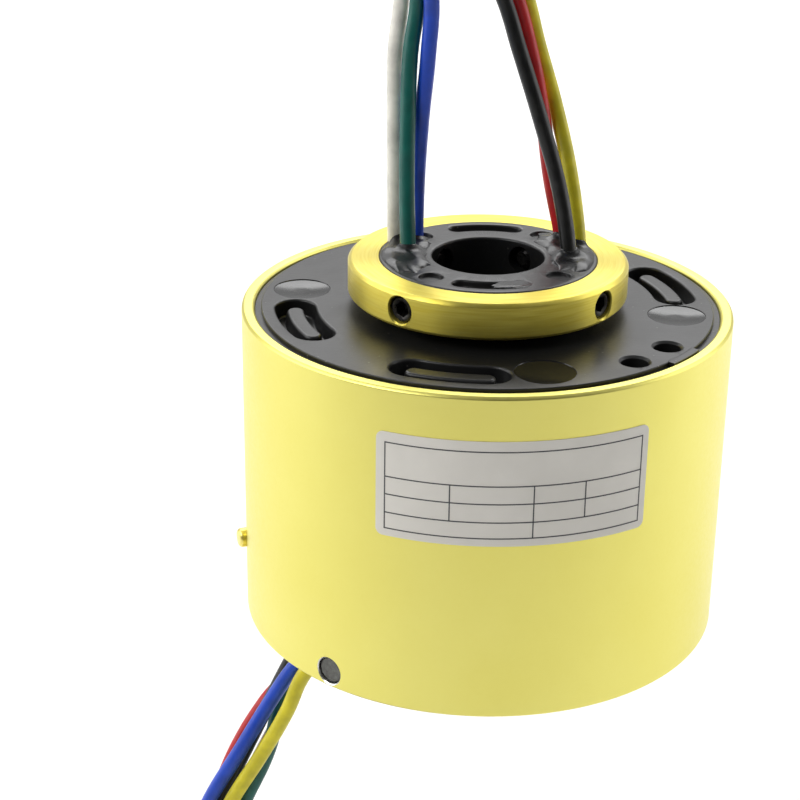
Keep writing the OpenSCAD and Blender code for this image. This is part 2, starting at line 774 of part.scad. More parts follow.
// ---- ball sets ----

module balls(z) {
    color([0.8, 0.81, 0.82])
    for (k = [0 : ball_count - 1])
        rotate([0, 0, 360 * k / ball_count])
            translate([ball_circle_r, 0, z + bearing_w / 2]) sphere(d = ball_d);
}

module cage(z) {
    cage_h = ball_d + 0.9;
    color([0.75, 0.6, 0.35])
    difference() {
        ring(ball_circle_r - cage_t / 2, ball_circle_r + cage_t / 2, z + (bearing_w - cage_h) / 2, cage_h);
        for (k = [0 : ball_count - 1])
            radial(360 * k / ball_count, ball_circle_r - cage_t, z + bearing_w / 2)
                cylinder(d = ball_d + 0.2, h = 2 * cage_t);
    }
}

rotor_core();
clamp_collar();
collar_set_screws();
rotor_retaining_ring();
inner_race(upper_bearing_z);  // upper_bearing_inner_race
inner_race(lower_bearing_z);  // lower_bearing_inner_race
for (n = ALL_RINGS) contact_ring(n);
for (n = ALL_BARRIERS) ring_barrier(n);
end_barriers();
ring_wires();
potting(180);  // potting_left
potting(0);  // potting_right
for (k = [0 : 5]) rotor_lead(k);
rotor_lead_coil();
rotor_lead_ties();
housing();
upper_end_cap();
lower_end_cap();
lower_cap_screws();
outer_race(upper_bearing_z);  // upper_bearing_outer_race
outer_race(lower_bearing_z);  // lower_bearing_outer_race
brush_board();
board_bracket();
board_screws();
bracket_pin();
for (n = ALL_RINGS) brush_pair(n);
board_wires();
lead_gland();
label();
for (k = [0 : 5]) stator_lead(k);
stator_lead_coil();
stator_lead_ties();
balls(upper_bearing_z);  // upper_bearing_balls
cage(upper_bearing_z);  // upper_bearing_cage
balls(lower_bearing_z);  // lower_bearing_balls
cage(lower_bearing_z);  // lower_bearing_cage
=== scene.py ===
# %% [markdown]
# # A through-bore slip ring, step by step
# A slip ring carries electricity between a part that stands still and a part that turns. A shaft
# goes through the bore, a collar clamps the inner core to it, and brushes inside the gold tube
# touch six rings on the core. Six coloured leads enter at the top and six leave at the bottom.
#
# The frame is a finished CAD model. Everything that it already gets right keeps its shape and only
# receives a finish. What shows from outside, such as soft edges, resin and leads, is made again
# here.

# %% Load the frame
import math

import bmesh
import bpy
from mathutils import Matrix, Vector, noise


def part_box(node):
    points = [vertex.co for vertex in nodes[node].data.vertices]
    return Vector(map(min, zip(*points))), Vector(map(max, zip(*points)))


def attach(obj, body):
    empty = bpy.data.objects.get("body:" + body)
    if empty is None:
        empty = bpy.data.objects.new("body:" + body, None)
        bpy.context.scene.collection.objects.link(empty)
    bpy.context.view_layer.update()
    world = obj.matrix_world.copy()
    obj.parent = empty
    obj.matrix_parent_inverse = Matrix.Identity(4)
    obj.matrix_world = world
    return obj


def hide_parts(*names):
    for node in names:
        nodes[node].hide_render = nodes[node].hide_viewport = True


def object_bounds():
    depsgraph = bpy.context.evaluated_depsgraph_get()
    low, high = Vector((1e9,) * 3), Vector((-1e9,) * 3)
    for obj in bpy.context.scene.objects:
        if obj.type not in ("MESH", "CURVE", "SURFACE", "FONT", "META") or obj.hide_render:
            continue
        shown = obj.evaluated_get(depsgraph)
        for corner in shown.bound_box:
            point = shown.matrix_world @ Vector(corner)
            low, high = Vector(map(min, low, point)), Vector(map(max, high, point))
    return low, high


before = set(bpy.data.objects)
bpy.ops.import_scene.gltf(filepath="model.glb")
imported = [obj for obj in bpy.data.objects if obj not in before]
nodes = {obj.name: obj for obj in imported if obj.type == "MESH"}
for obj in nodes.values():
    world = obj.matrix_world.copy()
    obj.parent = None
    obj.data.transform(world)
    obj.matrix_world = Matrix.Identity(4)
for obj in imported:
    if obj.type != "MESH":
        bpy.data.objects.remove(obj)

MM = 0.001
cad_box = [list(corner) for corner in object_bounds()]
print("CAD nodes:", len(nodes), "box in mm:", [[round(n / MM, 1) for n in c] for c in cad_box])

# %% [markdown]
# ## The camera
# A long lens from a little above shows the top face as a calm ellipse, as a catalogue does. The
# camera looks 23 degrees down and leans by less than a degree. Three Euler angles would do too,
# but a product of matrices says the order of the moves: lean, tip up from looking straight down,
# and go to the place.

# %% Camera
CAMERA_PLACE = Vector((-9.783, -208.176, 115.106))
LENS, LOOK_DOWN, LEAN = 87.13, 23.266, 0.706
eye = bpy.data.cameras.new("product_camera")
eye.lens = LENS
eye.sensor_width = 36
eye.clip_start = 0.01
eye.clip_end = 20
camera = bpy.data.objects.new("product_camera", eye)
bpy.context.scene.collection.objects.link(camera)
camera.matrix_world = (
    Matrix.Translation(CAMERA_PLACE * MM)
    @ Matrix.Rotation(math.pi / 2 - math.radians(LOOK_DOWN), 4, "X")
    @ Matrix.Rotation(math.radians(LEAN), 4, "Z")
)
bpy.context.scene.camera = camera
print("camera at", [round(n, 3) for n in camera.location])

# %% [markdown]
# ## A place for every finish
# A material here is always the same kind of thing: one Principled shader, and a pattern or two
# that change its colour, its gloss or its small relief. It could be built by hand in the node
# editor. Short helpers do it the same way for every finish, and keep the numbers in view.

# %% A shader and its nodes
def linear(red, green, blue):
    """A colour as a paint chart gives it, 0 to 255, as the light values that shaders use."""
    parts = [c / 255 for c in (red, green, blue)]
    return [c / 12.92 if c <= 0.04045 else ((c + 0.055) / 1.055) ** 2.4 for c in parts] + [1]


def new_finish(name, colour, metal=0.0, rough=0.4):
    """A material with one plain Principled shader, ready for its patterns."""
    finish = bpy.data.materials.new(name)
    finish.use_nodes = True
    shader = finish.node_tree.nodes["Principled BSDF"]
    shader.inputs["Base Color"].default_value = linear(*colour)
    shader.inputs["Metallic"].default_value = metal
    shader.inputs["Roughness"].default_value = rough
    finish.diffuse_color = linear(*colour)
    return finish


def add_node(finish, kind, inputs=None, **settings):
    """A new node with its settings, and with its inputs linked or set."""
    node = finish.node_tree.nodes.new(kind)
    for setting, value in settings.items():
        setattr(node, setting, value)
    for socket, value in (inputs or {}).items():
        if isinstance(value, bpy.types.NodeSocket):
            finish.node_tree.links.new(value, node.inputs[socket])
        else:
            node.inputs[socket].default_value = value
    return node


print("middle grey lets through", round(linear(128, 128, 128)[0], 3), "of the light")

# %% [markdown]
# All patterns read Object coordinates, which are metres on the real part, so a scale of 1000 gives
# detail about a millimetre wide. Noise gives 0 to 1 but stays near the middle, so a Map Range
# stretches it to the wanted limits before it reaches colour, gloss or relief.

# %% Patterns and where they go
def place_of(finish):
    """Where a point lies on the part, in metres."""
    return add_node(finish, "ShaderNodeTexCoord").outputs["Object"]


def grain(finish, per_metre, detail=3.0, where=None):
    """A soft random pattern from 0 to 1."""
    texture = add_node(finish, "ShaderNodeTexNoise", {
        "Vector": where or place_of(finish), "Scale": per_metre, "Detail": detail})
    return texture.outputs["Fac"]


def between(finish, pattern, low, high, start=0.3, end=0.7):
    """Stretches a pattern so that start becomes low, and end becomes high."""
    return add_node(finish, "ShaderNodeMapRange", {
        "Value": pattern, "From Min": start, "From Max": end, "To Min": low, "To Max": high,
    }).outputs["Result"]


def blend_colours(finish, pattern, first, second):
    """The first colour where the pattern is 0, the second where it is 1."""
    mix = add_node(finish, "ShaderNodeMix", {"Factor": pattern}, data_type="RGBA")
    ends = {socket.identifier: socket for socket in [*mix.inputs, *mix.outputs]}
    ends["A_Color"].default_value = linear(*first)
    ends["B_Color"].default_value = linear(*second)
    return ends["Result_Color"]


def wear(finish, **sockets):
    """Links patterns to the shader's sockets, by the socket's name with underscores."""
    shader = finish.node_tree.nodes["Principled BSDF"]
    for name, pattern in sockets.items():
        finish.node_tree.links.new(pattern, shader.inputs[name.replace("_", " ")])


def relief(finish, pattern, depth_mm, strength=1.0):
    """A small bump of that depth under the gloss."""
    bump = add_node(finish, "ShaderNodeBump", {
        "Height": pattern, "Distance": depth_mm * MM, "Strength": strength})
    wear(finish, Normal=bump.outputs["Normal"])


print("one grain at 1000 per metre is", 1000 * MM, "mm wide")

# %% [markdown]
# ## The insulation of the leads
# Each lead is a thin stranded wire in soft plastic. The plastic is coloured right through, so it
# never has one exact colour: pressure marks and handling make it faintly blotchy, and the gloss
# changes from place to place. One function makes all six colours with the same character.

# %% Insulation in six colours
SHADE = 0.86
LEAD_COLOURS = {
    "white": (246, 243, 232), "green": (6, 100, 90), "blue": (28, 78, 206),
    "black": (18, 18, 17), "red": (204, 22, 26), "yellow": (236, 222, 44),
}


def insulation(colour_name):
    """Soft plastic in one colour, with faint blotches of a darker shade."""
    finish = new_finish("insulation_" + colour_name, LEAD_COLOURS[colour_name], rough=0.36)
    shade = [SHADE * c for c in LEAD_COLOURS[colour_name]]
    blotches = between(finish, grain(finish, 420, 4), 0, 1, 0.35, 0.7)
    wear(finish, Base_Color=blend_colours(finish, blotches, LEAD_COLOURS[colour_name], shade))
    wear(finish, Roughness=between(finish, grain(finish, 900, 2), 0.3, 0.46))
    relief(finish, grain(finish, 2600, 2), 0.012)
    return finish


insulations = {colour: insulation(colour) for colour in LEAD_COLOURS}
print("insulation colours:", list(insulations))

# %% [markdown]
# ## The leads as one smooth line each
# A lead is a fixed length of something limp, so it is a curve with a round section and not a
# chain of cylinders. The routes are the CAD routes in millimetres: six rise from the resin in the
# rotor's face, and six hang from the lower cap. The spare length of each end is wound into a neat
# coil, one turn beside the other, and held by two ties.

# %% Numbers of the leads
LEAD_D = 1.8
LEAD_LENGTH = 250
LEAD_PITCH = 1.9
ROTOR_EXIT_Z = 44.0
ROTOR_ROUTES = {
    "white": [(-10.6, 5, 0), (-10.7, 5.8, 6.5), (-10.8, 6.8, 14), (-10.8, 7.7, 21),
              (-10.2, 8.4, 28), (-11.3, 6, 34)],
    "green": [(-9.1, 0.9, 0), (-9.3, 2.9, 6.5), (-9.3, 4.7, 14), (-9.1, 6.2, 21),
              (-8.4, 7, 28), (-9.8, 4.8, 34)],
    "blue": [(-8.2, 5.8, 0), (-8.1, 6.2, 6.5), (-7.7, 6.1, 14), (-7.1, 6, 21),
             (-6.9, 5.8, 28), (-8.3, 3.5, 34)],
    "black": [(9.1, -0.3, 0), (8, 2.3, 6.5), (5.7, 5.6, 14), (3.3, 7.9, 21),
              (1, 9.1, 27.5), (-2.9, 8.5, 34.2), (-4.6, 7.75, 35.6)],
    "red": [(8.7, 5.9, 0), (7.3, 7.6, 6.5), (6.1, 9, 14), (4.5, 10.2, 21),
            (2.4, 10.8, 27.5), (-1.4, 10.8, 34.2), (-3.7, 10.25, 35.6)],
    "yellow": [(10.5, 3.6, 0), (9.6, 6.1, 6.5), (7.8, 10.1, 14), (5.6, 11.8, 21),
               (3.6, 12.4, 27.5), (-0.2, 12.8, 34.2), (-2.6, 12.53, 35.6)],
}
ROTOR_TURNS = {  # radius of the turns, direction where they start, level there
    "white": (12.8, 168, 79.03), "green": (10.9, 172, 79.07), "blue": (9.0, 178, 79.13),
    "black": (9.0, 135, 80.58), "red": (10.9, 125, 80.48), "yellow": (12.8, 115, 80.37),
}
STATOR_ROUTES = {
    "white": [(-20.31, -4.28, -0.4), (-20.1, -4, -5.6), (-23, -6, -12.3), (-26.2, -7.3, -18.5),
              (-29.2, -8.3, -25), (-32.8, -9.8, -35), (-35.4, -10.6, -44)],
    "green": [(-18.98, -7.94, -0.4), (-21.7, -7.6, -6.2), (-23.9, -8.3, -11.5),
              (-25.1, -9.5, -16.4), (-28.1, -10.5, -23.3), (-32.3, -11.9, -33.5),
              (-35.4, -12.5, -44)],
    "blue": [(-18.31, -9.78, -0.4), (-22.2, -9.6, -5.3), (-25.1, -10, -10), (-28.5, -11, -15.8),
             (-32.3, -11.5, -22.6), (-36.3, -12.3, -32.5), (-39.2, -12.5, -43.5)],
    "black": [(-19.64, -6.11, -0.4), (-22.5, -5.7, -6.2), (-25.2, -7, -11.5), (-28.2, -8.6, -17.5),
              (-31.2, -9.6, -23.9), (-34.4, -10.4, -34), (-37.3, -10.6, -44)],
    "red": [(-20.98, -2.45, -0.4), (-22.8, -3.5, -8.9), (-25.9, -5.3, -12.6), (-29, -6.7, -17.6),
            (-32.1, -7.9, -25), (-36.4, -9.2, -34.6), (-39.2, -10.6, -43.5)],
    "yellow": [(-17.64, -11.61, -0.4), (-20.9, -11.4, -5.2), (-22.7, -11.8, -9.6),
               (-25.9, -12.1, -15.7), (-29.5, -12.5, -21.9), (-34, -12.6, -32),
               (-37.3, -12.5, -44)],
}
STATOR_TURNS = {
    "white": (9.0, 165, -10.6), "green": (9.0, 165, -12.5), "blue": (12.8, 165, -12.5),
    "black": (10.9, 165, -10.6), "red": (12.8, 165, -10.6), "yellow": (10.9, 165, -12.5),
}
ROTOR_COIL_Z = 77.6
STATOR_COIL_X, STATOR_COIL_Y, STATOR_COIL_Z = -27, -13.4, -48
print("leads:", len(ROTOR_ROUTES) + len(STATOR_ROUTES), "of", LEAD_LENGTH, "mm")

# %% [markdown]
# A coil is a route that keeps turning. The function below follows the route, then adds points on a
# slowly climbing circle, 15 to a turn, until the whole 250 mm are used up. Two leads share each
# radius, so one turn climbs by two pitches.

# %% Wind the spare length
TURN_STEP = 24


def wind(route, turns, place):
    """Route and coil points in millimetres. place gives a point from radius, angle and level."""
    radius, first, level = turns
    points = [Vector(point) for point in route]
    climb = 2 * LEAD_PITCH / 360
    start = place(radius, math.radians(first), level)
    run = sum((b - a).length for a, b in zip(points, points[1:] + [start]))
    sweep = (LEAD_LENGTH - run) / math.hypot(math.radians(radius), climb)
    count = math.ceil(sweep / TURN_STEP)
    for step in range(count + 1):
        turned = sweep * step / count
        points.append(place(radius, math.radians(first + turned), level + climb * turned))
    return points


def on_rotor_coil(radius, angle, level):
    """A place on the upper coil, which turns round Z."""
    return Vector((radius * math.cos(angle), radius * math.sin(angle), level))


def on_stator_coil(radius, angle, level):
    """A place on the lower coil, which lies on its side."""
    return Vector((STATOR_COIL_X + radius * math.cos(angle), level,
                   STATOR_COIL_Z + radius * math.sin(angle)))


rotor_lines = {}
for colour, route in ROTOR_ROUTES.items():
    lifted = [Vector(point) + Vector((0, 0, ROTOR_EXIT_Z)) for point in route]
    rotor_lines[colour] = wind(lifted, ROTOR_TURNS[colour], on_rotor_coil)
stator_lines = {c: wind(r, STATOR_TURNS[c], on_stator_coil) for c, r in STATOR_ROUTES.items()}
print("points per lead:", {c: len(line) for c, line in rotor_lines.items()})

# %% [markdown]
# Blender sweeps the round section along the curve by itself. Automatic handles keep the line
# smooth through every point, and the caps close both ends. Each lead begins a little inside the
# resin or the cap, so no gap shows where it comes out.

# %% Sweep the leads
ROTOR_SINK, STATOR_SINK = 0.7, -0.5


def lead(name, line, colour, body, sink):
    """A round lead along the line that starts that far below its first point."""
    start = line[0] - Vector((0, 0, sink))
    points = [start] + line
    path = bpy.data.curves.new(name, "CURVE")
    path.dimensions = "3D"
    path.bevel_depth = LEAD_D / 2 * MM
    path.bevel_resolution = 6
    path.resolution_u = 8
    path.use_fill_caps = True
    spline = path.splines.new("BEZIER")
    spline.bezier_points.add(len(points) - 1)
    for knot, point in zip(spline.bezier_points, points):
        knot.co = point * MM
        knot.handle_left_type = knot.handle_right_type = "AUTO"
    piece = bpy.data.objects.new(name, path)
    bpy.context.scene.collection.objects.link(piece)
    piece.data.materials.append(insulations[colour])
    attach(piece, body)
    return piece


leads = {}
for colour in LEAD_COLOURS:
    leads["rotor", colour] = lead(
        "rotor_line_" + colour, rotor_lines[colour], colour, "rotor", ROTOR_SINK)
    leads["stator", colour] = lead(
        "stator_line_" + colour, stator_lines[colour], colour, "stator", STATOR_SINK)
for (end, colour), piece in leads.items():
    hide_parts(end + "_lead_" + colour, end + "_lead_coil")
print("swept", len(leads), "leads")

# %% [markdown]
# ## Tools for turned and cut parts
# Nearly everything on a slip ring is turned on a lathe or moulded, so nearly every piece starts as
# a half section that is spun once round the Z axis. A cylinder with loop cuts would do for a
# plain ring, but a section says every step and lip at once. A full spin joins its last ring to
# its first. No real corner is perfectly sharp, so the helpers also round a rim.

# %% Spin a section, and round its rims
FULL_SPIN = 192


def spun(section, steps=FULL_SPIN, closed=True):
    """A section of (radius, height) points in millimetres, spun round Z."""
    part = bmesh.new()
    corners = [part.verts.new((radius * MM, 0, height * MM)) for radius, height in section]
    ends = corners[1:] + corners[:1] if closed else corners[1:]
    sides = [part.edges.new(pair) for pair in zip(corners, ends)]
    bmesh.ops.spin(part, geom=corners + sides, cent=(0, 0, 0), axis=(0, 0, 1),
                   angle=math.tau, steps=steps, use_merge=True)
    bmesh.ops.remove_doubles(part, verts=part.verts, dist=0.001 * MM)
    bmesh.ops.recalc_face_normals(part, faces=part.faces)
    return part


def rim(part, radius, height, near=0.01):
    """The edges that run round Z at that radius and height, in millimetres."""
    def on_rim(corner):
        return (abs(corner.co.xy.length / MM - radius) < near
                and abs(corner.co.z / MM - height) < near)
    return [edge for edge in part.edges if all(on_rim(corner) for corner in edge.verts)]


def soften(part, edges, width, segments=3):
    """Rounds those edges by that width in millimetres."""
    bmesh.ops.bevel(part, geom=edges, offset=width * MM, offset_type="OFFSET", segments=segments,
                    profile=0.5, affect="EDGES", material=-1, clamp_overlap=True)


print("a full spin takes", FULL_SPIN, "steps")

# %% [markdown]
# A hollow is described from its mouth downwards, as pairs: how far the outline moves in, and how
# far it moves down. Insetting one face again and again follows such a description exactly, and
# the same list with upward steps makes a rib with a round top.

# %% Step a face inwards and down
def stepped(part, face, steps):
    """Insets the face and moves it up, pair by pair, then closes the open rim at the other end."""
    for inward, up in steps:
        bmesh.ops.inset_region(part, faces=[face], thickness=inward * MM, depth=0,
                               use_boundary=True, use_even_offset=True)
        bmesh.ops.translate(part, verts=face.verts, vec=(0, 0, up * MM))
    open_rim = [edge for edge in part.edges if edge.is_boundary]
    bmesh.ops.holes_fill(part, edges=open_rim, sides=0)
    bmesh.ops.recalc_face_normals(part, faces=part.faces)


def round_mouth(radius, parts=4):
    """Steps down over a rounded edge of that radius."""
    turns = [math.pi / 2 * i / parts for i in range(parts + 1)]
    return [(radius * (math.sin(b) - math.sin(a)), -radius * (math.cos(a) - math.cos(b)))
            for a, b in zip(turns, turns[1:])]


def round_floor(radius, parts=3):
    """Steps down through a rounded corner into a flat floor."""
    turns = [math.pi / 2 * i / parts for i in range(parts + 1)]
    return [(radius * (math.cos(a) - math.cos(b)), -radius * (math.sin(b) - math.sin(a)))
            for a, b in zip(turns, turns[1:])]


print("a mouth of 0.3 mm:", [[round(n, 3) for n in step] for step in round_mouth(0.3)])

# %% [markdown]
# Every hollow and rib begins as one flat face, either a disc or a slot that is bent round the axis
# with round ends. The slot is a short bar spun through its angle, with a half disc spun onto each
# end, and then dissolved into a single face. Two moves bring such a part to its place.

# %% Outlines for hollows
def disc(radius, height, segments=48):
    """A flat round face at that height, and the part that it belongs to."""
    part = bmesh.new()
    bmesh.ops.create_circle(part, cap_ends=True, segments=segments, radius=radius * MM)
    bmesh.ops.translate(part, verts=part.verts, vec=(0, 0, height * MM))
    return part, part.faces[:][0]


def curved_slot(middle, width, half_angle, height, steps=24):
    """A slot with round ends along a circle, as one flat face centred on the X axis."""
    part = bmesh.new()
    across = [part.verts.new(((middle + side * width / 2) * MM, 0, height * MM))
              for side in (-1, 0, 1)]
    bars = [part.edges.new(pair) for pair in zip(across, across[1:])]
    half = math.radians(half_angle)
    bmesh.ops.rotate(part, verts=across, cent=(0, 0, 0), matrix=Matrix.Rotation(-half, 3, "Z"))
    bmesh.ops.spin(part, geom=across + bars, cent=(0, 0, 0), axis=(0, 0, 1), angle=2 * half,
                   steps=steps, use_merge=False)
    for side in (-1, 1):
        centre = Vector((middle * math.cos(half), side * middle * math.sin(half), height)) * MM
        out = Vector((math.cos(half), side * math.sin(half), 0)) * (side * width / 2 * MM)
        arm = [part.verts.new(centre), part.verts.new(centre + out)]
        bar = part.edges.new(arm)
        bmesh.ops.spin(part, geom=arm + [bar], cent=centre, axis=(0, 0, 1), angle=math.pi,
                       steps=12, use_merge=False)
    bmesh.ops.remove_doubles(part, verts=part.verts, dist=0.002 * MM)
    bmesh.ops.dissolve_faces(part, faces=part.faces[:])
    return part, part.faces[:][0]


def turn_to(part, degrees):
    """Turns the part round Z."""
    bmesh.ops.rotate(part, verts=part.verts, cent=(0, 0, 0),
                     matrix=Matrix.Rotation(math.radians(degrees), 3, "Z"))


def point_outwards(part, degrees, height):
    """A part made along +Z from the origin lies along that direction, at that height."""
    lay = (Matrix.Translation((0, 0, height * MM)) @ Matrix.Rotation(math.radians(degrees), 4, "Z")
           @ Matrix.Rotation(math.pi / 2, 4, "Y"))
    bmesh.ops.transform(part, matrix=lay, verts=part.verts)


trial, face = curved_slot(10, 2, 20, 0)
print("a curved slot has", len(face.verts), "corners")
trial.free()

# %% [markdown]
# A mesh becomes a piece when it has a name and a finish. Smooth shading is on everywhere, and
# edges sharper than 30 degrees stay crisp. Several parts can be joined into one mesh first, since
# the screws of one set are one piece.

# %% Make pieces and join them
CRISP = 30


def piece_from(name, part, finish, crisp=CRISP):
    """A finished object at the origin, made from the part."""
    mesh = bpy.data.meshes.new(name)
    part.to_mesh(mesh)
    part.free()
    mesh.materials.append(finish)
    mesh.shade_smooth()
    mesh.set_sharp_from_angle(angle=math.radians(crisp))
    piece = bpy.data.objects.new(name, mesh)
    bpy.context.scene.collection.objects.link(piece)
    return piece


def joined(parts):
    """Several meshes as one."""
    whole = bmesh.new()
    for part in parts:
        carrier = bpy.data.meshes.new("carrier")
        part.to_mesh(carrier)
        part.free()
        whole.from_mesh(carrier)
        bpy.data.meshes.remove(carrier)
    return whole


print("edges stay crisp above", CRISP, "degrees")

# %% [markdown]
# Cuts could be made face by face. The Boolean modifier is quicker and leaves the outline exact;
# its result is kept as the mesh, and the cut faces take the cutter's own finish. When a piece is
# done, weighted normals keep its large flat faces flat beside small roundings, the piece gets
# the body that it rides on, and the CAD nodes that it stands for are hidden.

# %% Cut and settle pieces
def keep_result(piece):
    """The shown shape, modifiers included, becomes the mesh."""
    bpy.context.view_layer.update()
    shown = piece.evaluated_get(bpy.context.evaluated_depsgraph_get())
    mesh = bpy.data.meshes.new_from_object(shown)
    piece.modifiers.clear()
    old, piece.data = piece.data, mesh
    bpy.data.meshes.remove(old)
    mesh.name = piece.name


def cut(piece, parts, finish):
    """Takes the parts away from the piece. The new faces get that finish."""
    cutter = piece_from("cutter", joined(parts), finish)
    tool = piece.modifiers.new("cut", "BOOLEAN")
    tool.operation, tool.solver, tool.object = "DIFFERENCE", "EXACT", cutter
    tool.use_self, tool.material_mode = True, "TRANSFER"
    keep_result(piece)
    bpy.data.objects.remove(cutter)
    piece.data.shade_smooth()
    piece.data.set_sharp_from_angle(angle=math.radians(CRISP))


def settle(piece, body, slot, *stands_for):
    """Gives the piece its even shading and body, hides the nodes that it stands for, and says how
    large it is. The slot argument is not used.
    """
    even = piece.modifiers.new("even", "WEIGHTED_NORMAL")
    even.mode, even.weight, even.keep_sharp = "FACE_AREA", 50, True
    keep_result(piece)
    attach(piece, body)
    if stands_for:
        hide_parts(*stands_for)
    foot, top = piece.bound_box[0][2] / MM, piece.bound_box[6][2] / MM
    print(piece.name, len(piece.data.polygons), "faces, z", round(foot, 2), "to", round(top, 2))


print("cuts and settling are ready")

# %% [markdown]
# ## Pale gold anodising
# The tube and the collar are aluminium with a clear yellow anodising. The film has a satin face:
# it mirrors light softly and only in yellow. So it is a metal with a yellow base colour, and not a
# yellow paint with a coat. On the tube a very fine blasted grain is enough.

# %% Gold of the tube
GOLD = (241, 232, 130)
GOLD_CLOUD = (238, 228, 122)


def blasted_gold():
    """Satin gold with a fine grain and very faint clouds."""
    finish = new_finish("anodised_gold", GOLD, metal=1.0, rough=0.36)
    clouds = between(finish, grain(finish, 60, 3), 0, 1)
    wear(finish, Base_Color=blend_colours(finish, clouds, GOLD, GOLD_CLOUD))
    wear(finish, Roughness=between(finish, grain(finish, 2200, 3), 0.33, 0.42))
    relief(finish, grain(finish, 5200, 2), 0.004, 0.6)
    return finish


tube_gold = blasted_gold()
print("tube finish:", tube_gold.name)

# %% [markdown]
# On the collar the lathe tool has left lines that run round it. An image could show them, but a
# noise does it too when it is squeezed across the lines and stretched along them. It needs a
# coordinate that grows only across: the distance from the axis plus the height.

# %% Lines that run round the axis
COLLAR_LINES = 4200


def ring_lines(finish, across, along):
    """Lines that run round Z, with so many per metre across them."""
    point = place_of(finish)
    apart = add_node(finish, "ShaderNodeSeparateXYZ", {"Vector": point})
    flat = add_node(finish, "ShaderNodeVectorMath", {0: point, 1: (1, 1, 0)}, operation="MULTIPLY")
    radius = add_node(finish, "ShaderNodeVectorMath", {0: flat.outputs[0]}, operation="LENGTH")
    way = add_node(finish, "ShaderNodeVectorMath", {0: flat.outputs[0]}, operation="NORMALIZE")
    depth = add_node(finish, "ShaderNodeMath", {0: radius.outputs["Value"], 1: apart.outputs["Z"]},
                     operation="ADD")
    squeezed = add_node(finish, "ShaderNodeMath", {0: depth.outputs[0], 1: across},
                        operation="MULTIPLY")
    along_it = add_node(finish, "ShaderNodeVectorMath", {0: way.outputs[0], "Scale": along},
                        operation="SCALE")
    lift = add_node(finish, "ShaderNodeCombineXYZ", {"Z": squeezed.outputs[0]})
    where = add_node(finish, "ShaderNodeVectorMath", {0: along_it.outputs[0], 1: lift.outputs[0]})
    return grain(finish, 1.0, 4, where.outputs[0])


print("collar lines are about", round(1 / COLLAR_LINES / MM, 2), "mm apart")

# %% [markdown]
# Fine lines also stretch the gloss across themselves, which is what makes turned metal glow in
# bands. The shader's anisotropy does that along a tangent. The tangent here follows the circle
# round the axis, and a quarter turn of it points the stretch across the lines.

# %% Gold of the collar
COLLAR_GOLD = (238, 223, 112)
COLLAR_DEEP = (222, 203, 82)


def turned_gold():
    """Gold with tool lines, and a gloss that is stretched across them."""
    finish = new_finish("turned_gold", COLLAR_GOLD, metal=1.0, rough=0.3)
    shader = finish.node_tree.nodes["Principled BSDF"]
    shader.inputs["Anisotropic"].default_value = 0.8
    shader.inputs["Anisotropic Rotation"].default_value = 0.25
    lines = ring_lines(finish, COLLAR_LINES, 3)
    wear(finish, Base_Color=blend_colours(
        finish, between(finish, lines, 0, 0.9), COLLAR_GOLD, COLLAR_DEEP))
    wear(finish, Roughness=between(finish, lines, 0.32, 0.42))
    relief(finish, lines, 0.005, 0.6)
    apart = add_node(finish, "ShaderNodeSeparateXYZ", {"Vector": place_of(finish)})
    back = add_node(finish, "ShaderNodeMath", {0: apart.outputs["Y"], 1: -1.0},
                    operation="MULTIPLY")
    round_it = add_node(finish, "ShaderNodeCombineXYZ", {
        "X": back.outputs[0], "Y": apart.outputs["X"]})
    world = add_node(finish, "ShaderNodeVectorTransform", {"Vector": round_it.outputs[0]},
                     vector_type="VECTOR", convert_from="OBJECT", convert_to="WORLD")
    wear(finish, Tangent=world.outputs[0])
    return finish


collar_gold = turned_gold()
bare_edge = new_finish("bare_aluminium_edge", (232, 232, 228), metal=1.0, rough=0.28)
wear(bare_edge, Roughness=between(bare_edge, grain(bare_edge, 3000), 0.2, 0.4))
print("collar finishes:", collar_gold.name, bare_edge.name)

# %% [markdown]
# ## The tube
# The housing is a plain tube with four chamfered rims. The chamfers are narrow, yet they catch the
# brightest light of the whole part, so they are rounded a little instead of left as razor edges.

# %% Housing sizes and section
low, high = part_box("housing")
TUBE_R, TUBE_H = high.x / MM, high.z / MM
TUBE_WALL, CHAMFER = 1.5, 0.3
INNER_R = TUBE_R - TUBE_WALL
SCREW_TURNS = (-128.3, -8.3, 111.7)
SCREW_Z, SCREW_HOLE_R = 2.05, 1.6
BRUSH_TURN = 200
PIN_X, PIN_Z, PIN_HOLE_R = 7.22, 8.65, 1.2
RIM_SOFT = 0.08
tube = spun([
    (INNER_R, CHAMFER), (INNER_R + CHAMFER, 0), (TUBE_R - CHAMFER, 0), (TUBE_R, CHAMFER),
    (TUBE_R, TUBE_H - CHAMFER), (TUBE_R - CHAMFER, TUBE_H), (INNER_R + CHAMFER, TUBE_H),
    (INNER_R, TUBE_H - CHAMFER),
])
for level in (0, TUBE_H):
    for radius in (INNER_R + CHAMFER, TUBE_R - CHAMFER):
        soften(tube, rim(tube, radius, level), RIM_SOFT, 2)
for level in (CHAMFER, TUBE_H - CHAMFER):
    for radius in (INNER_R, TUBE_R):
        soften(tube, rim(tube, radius, level), RIM_SOFT, 2)
housing = piece_from("gold_tube", tube, tube_gold)
print("tube", TUBE_R, "by", TUBE_H)

# %% [markdown]
# Three screw holes near the lower rim have a countersink that was cut after the anodising, which
# is why bare metal shines round each screw. A fourth hole holds the pin behind. The cutters are
# spun like everything else and laid outwards.

